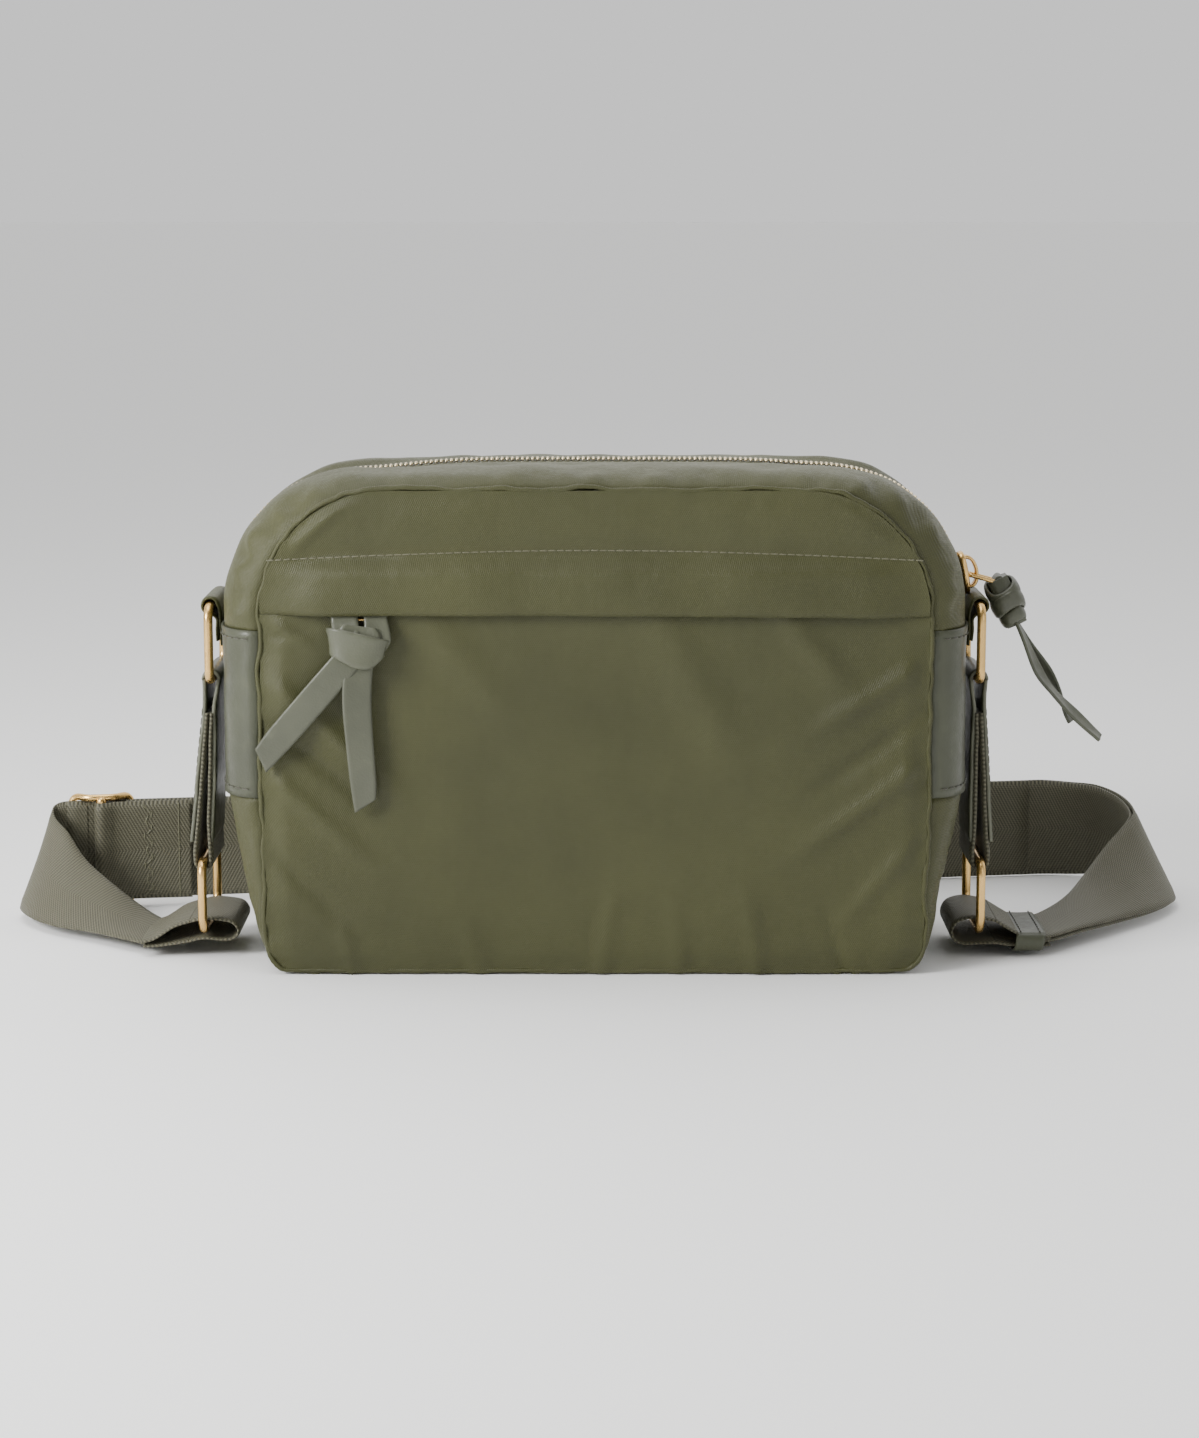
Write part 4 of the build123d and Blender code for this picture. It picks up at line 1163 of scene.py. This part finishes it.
leather_band(
    "front_knot_wrap",
    [
        ((-85.5, -46.7, 112.6), (-86.5, -46.5, 121.6)),
        ((-90.2, -48.4, 113.2), (-91.4, -48.3, 122.6)),
        ((-87.6, -51.6, 111.9), (-88.4, -51.4, 122.8)),
        ((-81.4, -52.9, 109.3), (-80.8, -52.6, 121.3)),
        ((-76.2, -52.5, 109.2), (-74.4, -52.2, 119.7)),
        ((-72.4, -50.2, 112.6), (-70.4, -50.0, 118.4)),
        ((-75.2, -47.2, 111.4), (-74.2, -46.9, 117.6)),
    ],
    "front_pull", ["front_pull_knot"], 1.2, True, 0.5,
)
strip(
    "front_knot_core",
    [(-80.4, -49.2, 123.2), (-80.4, -49.8, 120.6), (-80.8, -50.0, 116.0), (-81.4, -49.4, 110.6)],
    [12.0, 15.0, 15.5, 11.0], (1.0, 0, -0.12), 3.4, LACE_LEATHER_PAINTED_LIT, "front_pull", cup=0.6,
)
LACES = {
    "left": [
        ((-90.2, -46.9, 127.8), (-81.2, -46.9, 127.9)),
        ((-90.1, -47.8, 125.0), (-80.8, -48.2, 125.2)),
        ((-89.6, -49.6, 122.0), (-80.2, -50.6, 121.4)),
        ((-88.6, -50.2, 118.4), (-79.8, -51.4, 117.6)),
    ],
    "right": [
        ((-79.2, -46.8, 127.8), (-71.2, -46.8, 127.9)),
        ((-78.8, -48.0, 125.0), (-70.6, -47.8, 124.6)),
        ((-78.6, -49.2, 121.8), (-69.8, -48.8, 121.2)),
        ((-78.0, -50.2, 117.6), (-69.6, -49.8, 118.0)),
        ((-77.6, -49.6, 113.6), (-71.4, -49.0, 114.8)),
    ],
}
for side, edges in LACES.items():
    lace = band(f"front_lace_{side}", edges, 1.1, LACE_LEATHER_PAINTED_LIT, 7, 0.0, 0.15)
    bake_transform(lace)
strip(
    "front_tail_left",
    [
        (-82.6, -49.2, 115.0), (-86.0, -50.6, 110.0), (-92.6, -50.4, 102.2),
        (-100.6, -49.2, 93.0), (-108.6, -48.2, 83.8), (-115.0, -47.6, 76.4),
    ],
    [8.8, 9.6, 10.0, 9.9, 9.6, 9.0],
    [
        (0.9, 0.0, -0.3), (0.78, 0.1, -0.6), (0.76, 0.1, -0.65),
        (0.75, 0.0, -0.66), (0.74, -0.08, -0.67), (0.42, -0.1, -0.9),
    ],
    1.1, LACE_LEATHER_PAINTED_LIT, "front_pull", ["front_pull_tails"], cup=0.2,
)
strip(
    "front_tail_right",
    [
        (-79.6, -48.6, 113.0), (-81.0, -49.8, 106.0), (-81.4, -50.2, 96.0),
        (-80.6, -50.0, 82.0), (-79.6, -49.8, 69.0), (-79.0, -49.6, 60.8),
    ],
    [9.0, 10.0, 10.0, 9.5, 9.1, 8.8],
    [
        (1.0, 0.05, 0.05), (1.0, 0.12, 0.03), (1.0, 0.12, 0.03),
        (1.0, 0.05, 0.05), (1.0, -0.05, 0.06), (0.83, -0.05, 0.55),
    ],
    1.1, LACE_LEATHER_PAINTED_LIT, "front_pull", cup=0.2,
)

lean = math.radians(25.0)
knot_down = Vector((math.sin(lean), 0.0, -math.cos(lean)))
knot_out = Vector((math.cos(lean), 0.0, math.sin(lean)))
knot = Vector((147.0, 0.0, 125.2))
for name, along, aside, *sizes in (
    ("main_knot_wrap", 0.4, 0.0, 7.2, 5.0, 7.6, 0.22),
    ("main_knot_cap", -4.4, 0.2, 6.6, 4.9, 6.4, -0.3),
    ("main_knot_foot", 5.2, -0.3, 5.6, 3.6, 6.2, 0.1),
):
    middle = knot + knot_down * along + knot_out * aside
    nodes = ["main_pull_knot"] if name == "main_knot_wrap" else []
    wrap_loop(name, middle, DEPTH_WAY, knot_out, knot_down, *sizes, "main_pull", nodes)
strip(
    "main_knot_core",
    [
        MAIN_KNOT_TOP + Vector((-0.4, 0, 1.4)),
        knot - knot_down * 5.0, knot, knot + knot_down * 5.0, knot + knot_down * 8.4,
    ],
    [8.0, 11.0, 12.0, 9.6, 7.0], (0, 1.0, 0), 7.2, LACE_LEATHER_PAINTED_LIT, "main_pull", cup=0.0,
)
for i, y in enumerate((-1.8, 1.8)):
    centres = [(-1.6, 0.2), (0.2, 2.1), (2.6, 0.0), (4.0, -3.4)]
    strip(
        f"main_lace_{i}",
        [MAIN_KNOT_TOP + Vector((x, y * (1.0 + 0.1 * k), z)) for k, (x, z) in enumerate(centres)],
        [3.4, 3.8, 4.6, 5.0], (0, 1.0, 0.1), 1.2, LACE_LEATHER_PAINTED_LIT, "main_pull",
    )
strip(
    "main_tail_long",
    [
        (149.6, -2.6, 119.6), (153.0, -3.6, 112.6), (158.0, -4.2, 101.4),
        (163.6, -4.0, 93.6), (172.0, -4.4, 85.0), (180.8, -4.0, 76.8),
    ],
    [5.0, 5.8, 5.8, 5.6, 5.6, 5.2],
    [(0.1, 1.0, 0.1), (0.3, 1.0, 0.1), (0.55, 1.0, 0.4), (0.25, 1.0, 0.25), (0.5, 0.9, 0.4), (0.3, 1.0, 0.3)],
    1.2, LACE_LEATHER_PAINTED_LIT, "main_pull", ["main_pull_tails"], cup=0.25,
)
strip(
    "main_tail_short",
    [
        (150.6, 2.4, 119.0), (155.4, 3.0, 110.6), (162.0, 3.2, 100.6),
        (166.4, 3.4, 93.0), (169.2, 3.2, 86.4), (171.6, 3.4, 81.6),
    ],
    [5.0, 5.6, 5.6, 5.4, 5.4, 5.0],
    [
        (0.1, 1.0, 0.1), (-0.3, 1.0, 0.1), (-0.6, 1.0, -0.2),
        (-0.3, 1.0, 0.2), (0.4, 1.0, 0.2), (0.6, 0.9, 0.2),
    ],
    1.2, LACE_LEATHER_PAINTED_LIT, "main_pull", cup=0.25,
)


# ---- Side loops and hangers ----
UPPER_RING_X = {side: box_middle(f"upper_ring_{side}").x for side in SIDES}
LOWER_RING_X = {side: box_middle(f"lower_ring_{side}").x for side in SIDES}
UPPER_LOW = node_box("upper_ring_left")[0].z + RING_WIRE / 2
UPPER_HIGH = node_box("upper_ring_left")[1].z - RING_WIRE / 2
LOWER_HIGH = node_box("lower_ring_left")[1].z - RING_WIRE / 2
LOOP_HALF = 17.0


def frayed(seed, amount=0.35):
    """Small unevenness along a strip's long edges."""

    def move(point, along, across, normal):
        edge = max(0.0, abs(across) - 0.7) / 0.3
        return point + normal * edge * amount * rough((along, across * 4.0, seed), 7.0, seed)

    return move


def side_loop(side, s):
    """Folded nylon loop from the bag's side over the ring's top bar."""
    x0 = UPPER_RING_X[side] * s
    root = CROWN_HALF + 0.9
    path = [(root + 0.5, 112.0), (root + 0.7, 118.0)]
    path += [(root + 1.0, UPPER_HIGH - 3.0)]
    path += around_bar(x0, UPPER_HIGH, EYE + 0.8, 172.0, 10.0, 6)
    path += around_bar(x0, UPPER_HIGH, EYE + 0.8, -20.0, -90.0, 3)
    path += [(x0 - 2.2, UPPER_HIGH - 4.6), (root + 2.2, PATCH_HIGH_Z - 3.2), (root + 1.9, PATCH_HIGH_Z - 7.0)]
    edges = flat_path([(s * x, z) for x, z in path], LOOP_HALF)
    loop = band(f"ring_loop_{side}", edges, 1.3, NYLON, 5, 0.0, 0.0, form=frayed(2.0 + s, 0.5))
    place(loop, "bag", "leather", f"side_loop_{side}")


def hanger(side, s):
    """Leather strip folded over the upper ring with doubled webbing inside that holds the lower ring."""
    x1, x2 = UPPER_RING_X[side], LOWER_RING_X[side]
    drift = (x2 - x1) / (UPPER_LOW - 42.0)

    def line(z, off):
        return (x1 + drift * (UPPER_LOW - z) + off, z)

    inner, outer = -s, s
    inside = ((41.5, 3.1), (52.0, 3.0), (66.0, 2.8), (80.0, 2.2), (90.0, 1.75))
    outside = ((90.0, 1.75), (80.0, 2.3), (66.0, 2.9), (52.0, 3.4), (41.5, 3.8))
    path = [line(z, inner * off) for z, off in inside]
    path += around_bar(x1, UPPER_LOW, EYE + 0.8, 205.0 if s > 0 else -25.0, -25.0 if s > 0 else 205.0, 9)
    path += [line(z, outer * off) for z, off in outside]
    edges = flat_path(path, LOOP_HALF)
    body = f"hanger_{side}"
    form = frayed(5.0 + s, 0.3)
    leather = band(f"hanger_strap_{side}", edges, 1.5, LEATHER_TRIM, 6, form=form, edge_and_highlight=LEATHER_EDGE_AND_HIGHLIGHT)
    place(leather, body, "leather", f"hanger_leather_{side}")
    path = [line(z, inner * off) for z, off in ((88.0, 0.8), (78.0, 1.0), (62.0, 1.5), (48.0, 1.9))]
    path += [(x2 + inner * 2.6, LOWER_HIGH + 3.4)]
    turns = (170.0, 370.0) if s > 0 else (10.0, -190.0)
    path += around_bar(x2, LOWER_HIGH, EYE + 0.75, *turns, 8)
    path += [(x2 + outer * 2.7, LOWER_HIGH + 3.6), line(48.0, outer * 2.0), line(62.0, outer * 1.6)]
    path += [line(78.0, outer * 1.1), line(88.0, outer * 0.8)]
    edges = flat_path(path, LOOP_HALF + 0.9)
    web = band(f"hanger_web_{side}", edges, 2.0, WEBBING, 6, form=frayed(9.0 + s, 0.25))
    place(web, body, "webbing", f"hanger_webbing_{side}")
    rows = []
    for off in (-14.6, 14.6):
        stations = ((43.5, 4.5), (54.0, 4.12), (70.0, 3.62), (88.0, 2.75))
        rows.append([((line(z, outer * w)[0], off, z), (outer, 0, 0.05)) for z, w in stations])
    rows.append([((line(44.0, outer * 4.5)[0], y, 44.0), (outer, 0, 0.05)) for y in (-14.6, 0.0, 14.6)])
    rows.append([((line(88.5, outer * 2.72)[0], y, 88.5), (outer, 0, 0.05)) for y in (-14.6, 0.0, 14.6)])
    repeated(f"hanger_stitches_{side}", rows, LONG_STITCH, 3.4, DARK_THREAD, body, "leather", seed=11)


for side, s in SIDES.items():
    side_loop(side, s)
    hanger(side, s)


# ---- Strap ----
BAND_START = Vector((-201.0, 60.0, 0.0))
BAND_WAY = Vector((0.9887, 0.150, 0.0)).normalized()
BAND_AWAY = Vector((-BAND_WAY.y, BAND_WAY.x, 0.0))
BAND_END = 378.0
LAYER_STEP = 1.6
INNER_START = 17.5


def upright(s, lift, away=0.0):
    """Edges of the upright run behind the bag at the distance s from its left end."""
    foot = BAND_START + BAND_WAY * s + BAND_AWAY * away + Vector((0.0, 0.0, lift))
    return (foot, foot + Vector((0.0, 0.0, STRAP_WIDTH)))


def settle(seed, length):
    """Slack of the webbing: slow waves that die out at its ends and at the floor."""

    def move(point, along, across, normal):
        fade = smoothstep(0.0, 25.0, along) * smoothstep(0.0, 25.0, length - along)
        moved = point + normal * (0.5 * fade * rough((along, 3.0 * across, seed), 40.0, seed))
        moved.z = max(0.25, moved.z)
        return moved

    return move


def run_length(edges, steps=8):
    middles = smooth_line([(Vector(a) + Vector(b)) / 2 for a, b in edges], steps)
    return sum((b - a).length for a, b in zip(middles, middles[1:]))


def bends_near(side, ends):
    """The three bends of a strap end: at its ring, its hanger and its upper ring, each between two bodies."""
    chain = (f"lower_ring_{side}", f"hanger_{side}", f"upper_ring_{side}", "bag")
    return [(chain[k], chain[k + 1], Vector(ends[k][0]) * MM, Vector(ends[k][1]) * MM) for k in range(3)]


BENDS = {
    "left": bends_near("left", (
        ((-145.0, 0.0, 0.0), (-153.5, 0.0, 0.0)),
        ((-154.6, 0.0, 0.0), (-178.0, 0.0, 0.0)),
        ((-178.0, 27.0, 0.0), (-202.7, 54.4, 0.0)),
    )),
    "right": bends_near("right", (
        ((143.0, 0.0, 0.0), (153.0, 0.0, 0.0)),
        ((154.0, 0.0, 0.0), (174.0, 0.0, 0.0)),
        ((174.0, 29.0, 0.0), (203.6, 68.5, 0.0)),
    )),
}


def strap_span(name, edges, span, bend=None, nodes=(), shift=0.0, form=None, steps=8):
    """Part of a strap between two of its stations, baked in place where a bend is given, or riding on the
    bag.
    """
    obj = band(name, edges, STRAP, WEBBING, steps, shift, 0.0, False, span, form)
    if nodes:
        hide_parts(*nodes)
    if bend:
        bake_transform(obj)
    else:
        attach(obj, "bag")
    return obj


EYE_HALF = 18.2
EYE_LINES = {
    "left": {
        "loop": [
            (-145.0, 5.4), (-139.5, 6.5), (-133.5, 6.0), (-129.4, 6.4), (-127.4, 9.0),
            (-129.4, 12.2), (-134.0, 13.3), (-139.5, 13.6), (-144.6, 12.6),
        ],
        "under": [(-145.0, 5.4), (-149.5, 4.6), (-153.8, 4.0), (-157.5, 3.6), (-161.5, 3.4)],
        "over": [(-144.6, 12.6), (-150.2, 10.8), (-154.6, 8.0), (-158.2, 5.9), (-162.0, 5.0)],
    },
    "right": {
        "loop": [
            (143.0, 4.8), (137.0, 4.6), (132.6, 4.4), (129.0, 5.4), (127.4, 8.6),
            (129.0, 12.2), (132.8, 13.8), (137.0, 14.0), (143.0, 12.8),
        ],
        "under": [(143.0, 4.8), (148.4, 3.9), (153.2, 3.6), (157.6, 3.6), (163.0, 3.7)],
        "over": [(143.0, 12.8), (149.6, 8.8), (154.0, 6.6), (158.4, 5.6), (163.0, 5.4)],
    },
}
EYE_WIDTHS = {"left": (18.2,) * 5, "right": (18.2, 17.6, 17.0, 16.8, 16.8)}


def eye_edges(path, halves):
    """Edges of a strap end whose width narrows along its path."""
    return [((x, -half, z), (x, half, z)) for (x, z), half in zip(path, halves)]


for side in SIDES:
    lines = EYE_LINES[side]
    eye = band(f"strap_{side}_eye", flat_path(lines.pop("loop"), EYE_HALF), STRAP, WEBBING, 6)
    place(eye, f"lower_ring_{side}", "webbing", f"strap_{side}_end")
    for layer, path in lines.items():
        edges = eye_edges(path, EYE_WIDTHS[side])
        for k in range(2):
            strap_span(f"strap_{side}_{layer}_{k}", edges, (2 * k, 2 * k + 2), BENDS[side][k], steps=6)

LEFT_EDGES = [
    ((-160.0, -15.0, 3.4), (-160.0, 18.0, 5.4)),
    ((-171.0, -7.0, 3.8), (-167.0, 22.0, 8.5)),
    ((-184.0, 4.0, 3.6), (-178.0, 27.0, 15.5)),
    ((-199.0, 15.0, 3.2), (-190.0, 36.0, 23.5)),
    ((-211.0, 29.0, 3.4), (-198.0, 43.0, 32.5)),
    ((-217.0, 45.0, 3.6), (-204.0, 51.0, 36.5)),
    ((-213.0, 56.0, 3.2), (-205.5, 57.5, 39.5)),
    upright(-1.0, 3.1),
    upright(8.0, 3.1),
]
RIGHT_EDGES = [
    upright(BAND_END - 2.0, 0.4),
    upright(BAND_END + 6.0, 0.4),
    ((190.0, 116.6, 0.6), (188.0, 113.5, 38.2)),
    ((203.0, 112.0, 1.4), (197.0, 106.0, 38.2)),
    ((215.0, 97.0, 1.8), (204.0, 94.0, 36.5)),
    ((221.0, 76.0, 2.0), (206.5, 80.0, 34.0)),
    ((219.5, 58.0, 2.0), (204.0, 71.0, 31.0)),
    ((209.0, 38.0, 3.0), (195.0, 60.0, 24.5)),
    ((193.0, 19.0, 3.8), (184.0, 46.0, 14.5)),
    ((177.0, 1.0, 4.4), (174.0, 29.0, 8.8)),
    ((164.5, -13.0, 4.6), (163.5, 19.0, 5.4)),
    ((157.0, -16.8, 4.6), (157.0, 16.8, 4.8)),
]
BACK_STATIONS = ((0.0, 3.1), (50.0, 3.1), (110.0, 3.1), (160.0, 2.4), (230.0, 0.4))
BACK_EDGES = [upright(*station) for station in BACK_STATIONS]
BACK_EDGES += [upright(300.0, 0.4), upright(BAND_END, 0.4)]


left_form = settle(1.1, run_length(LEFT_EDGES))
strap_span("strap_left_near", LEFT_EDGES, (0, 2), BENDS["left"][1], form=left_form)
strap_span("strap_left", LEFT_EDGES, (2, 6), BENDS["left"][2], ["strap_left_run"], form=left_form)
strap_span("strap_left_far", LEFT_EDGES, (6, 8), form=left_form)
form = settle(2.2, run_length(BACK_EDGES))
strap_span("strap_rear", BACK_EDGES, (0, 6), None, ["strap_back_run"], form=form)
right_form = settle(3.3, run_length(RIGHT_EDGES))
for name, shift, node in (
    ("strap_right", 0.0, "strap_right_run"),
    ("strap_right_lining", LAYER_STEP, "strap_right_inner"),
):
    strap_span(f"{name}_far", RIGHT_EDGES, (0, 6), None, [node], shift, right_form)
    strap_span(name, RIGHT_EDGES, (6, 9), BENDS["right"][2], (), shift, right_form)
    strap_span(f"{name}_near", RIGHT_EDGES, (9, 11), BENDS["right"][1], (), shift, right_form)
inner_edges = [upright(INNER_START, 3.1), upright(60.0, 3.1), upright(110.0, 3.1), upright(160.0, 2.4)]
inner_edges += [upright(230.0, 0.4), upright(300.0, 0.4), upright(BAND_END, 0.4)]
inner = band("strap_sliding_layer", inner_edges, STRAP, WEBBING, 8, LAYER_STEP)
place(inner, "bag", "webbing", "strap_inner_layer")
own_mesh(inner)

keeper_edges = []
for k in range(16):
    turn = math.tau * k / 16
    c, s = math.cos(turn), math.sin(turn)
    y = math.copysign(abs(c) ** 0.28, c) * 18.3
    z = 4.9 + math.copysign(abs(s) ** 0.55, s) * 3.3
    skew = 0.9 * s
    keeper_edges.append(((149.8 + skew - 0.4 * c, y, z), (160.2 + skew - 0.4 * c, y, z)))
keeper = band("strap_wrap", keeper_edges, 1.1, LEATHER_TRIM, 5, 0.0, 0.25, True, form=frayed(6.6, 0.5))
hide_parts("strap_keeper")
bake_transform(keeper)
rows = [[((x, y, 8.85 - 0.012 * abs(y)), (0, 0, 1)) for y in (-15.0, 0.0, 15.0)] for x in (152.4, 159.2)]
bend = BENDS["right"][1]
repeated("wrap_stitches", rows, LONG_STITCH, 3.3, DARK_THREAD, None, "leather", seed=13, bend=bend)


# ---- Adjuster: round rod frame, centre bar and the strap's sewn end ----
ADJUSTER_S = 13.0


def adjuster_point(along, away, z):
    """Point given along the band from the adjuster's middle, away from the bag and above the floor."""
    return BAND_START + BAND_WAY * (ADJUSTER_S + along) + BAND_AWAY * away + Vector((0.0, 0.0, z))


FRAME_LOW, FRAME_HIGH = (corner.z for corner in node_box("adjuster_frame"))
ROD = 1.35
frame_low, frame_high = FRAME_LOW + ROD + 0.05, FRAME_HIGH - ROD
rod_line = []
for turn_along, turn_z, first in ((1, 1, 0), (-1, 1, 90), (-1, -1, 180), (1, -1, 270)):
    for k in range(7):
        turn = math.radians(first + 15.0 * k)
        along = turn_along * 8.2 + 3.0 * math.cos(turn)
        z = (frame_high - 3.0 if turn_z > 0 else frame_low + 3.0) + 3.0 * math.sin(turn)
        away = 2.2 - 4.6 * (1.0 - smoothstep(4.0, 10.8, abs(along)))
        rod_line.append(adjuster_point(along, away, z))
    if turn_along * turn_z > 0:
        z = frame_high if turn_z > 0 else frame_low
        for k in range(1, 8):
            along = turn_along * (8.2 - 16.4 * k / 8)
            away = 2.2 - 4.6 * (1.0 - smoothstep(4.0, 10.8, abs(along)))
            rod_line.append(adjuster_point(along, away, z))
place(tube("adjuster_rod", rod_line, ROD, GOLD, 14, True), "adjuster", "gold_metal", "adjuster_frame")
bar_ends = FRAME_LOW + 0.9, FRAME_HIGH - FRAME_LOW - 1.8
bar_line = [adjuster_point(0.0, -3.85, bar_ends[0] + bar_ends[1] * k / 24) for k in range(25)]


def bar_radius(t):
    """The centre bar swells into a small collar and ball where it meets the rails."""
    end = min(t, 1.0 - t)
    return 1.25 + 0.75 * math.exp(-(((end - 0.04) / 0.025) ** 2))


place(tube("adjuster_centre", bar_line, bar_radius, GOLD, 14), "adjuster", "gold_metal", "adjuster_bar")
sewn_path = [(4.6, -1.65), (2.4, -1.9)]
for k in range(7):
    turn = math.radians(70.0 + 220.0 * k / 6)
    sewn_path.append((2.15 * math.cos(turn), -3.85 + 2.15 * math.sin(turn)))
sewn_path += [(2.6, -5.0), (6.0, -3.6), (14.0, -3.1), (24.0, -3.1), (33.6, -3.1)]
sewn_edges = [(adjuster_point(a, w, 3.2), adjuster_point(a, w, 41.1)) for a, w in sewn_path]
sewn = band("strap_sewn_tab", sewn_edges, STRAP, WEBBING, 6)
place(sewn, "adjuster", "webbing", "strap_sewn_end")
zigzag = []
for k in range(13):
    zigzag.append((adjuster_point(16.0 + 3.2 * (k % 2), -3.82, 5.0 + 34.0 * k / 12), -BAND_AWAY))
cross = [(adjuster_point(29.0, -3.82, 5.0 + 34.0 * k / 3), -BAND_AWAY) for k in range(4)]
repeated("sewn_tab_stitches", [zigzag, cross], STITCH, 2.4, THREAD, "adjuster", "webbing", seed=17)

for shape in (STITCH, LONG_STITCH, TOOTH):
    bpy.data.objects.remove(shape)
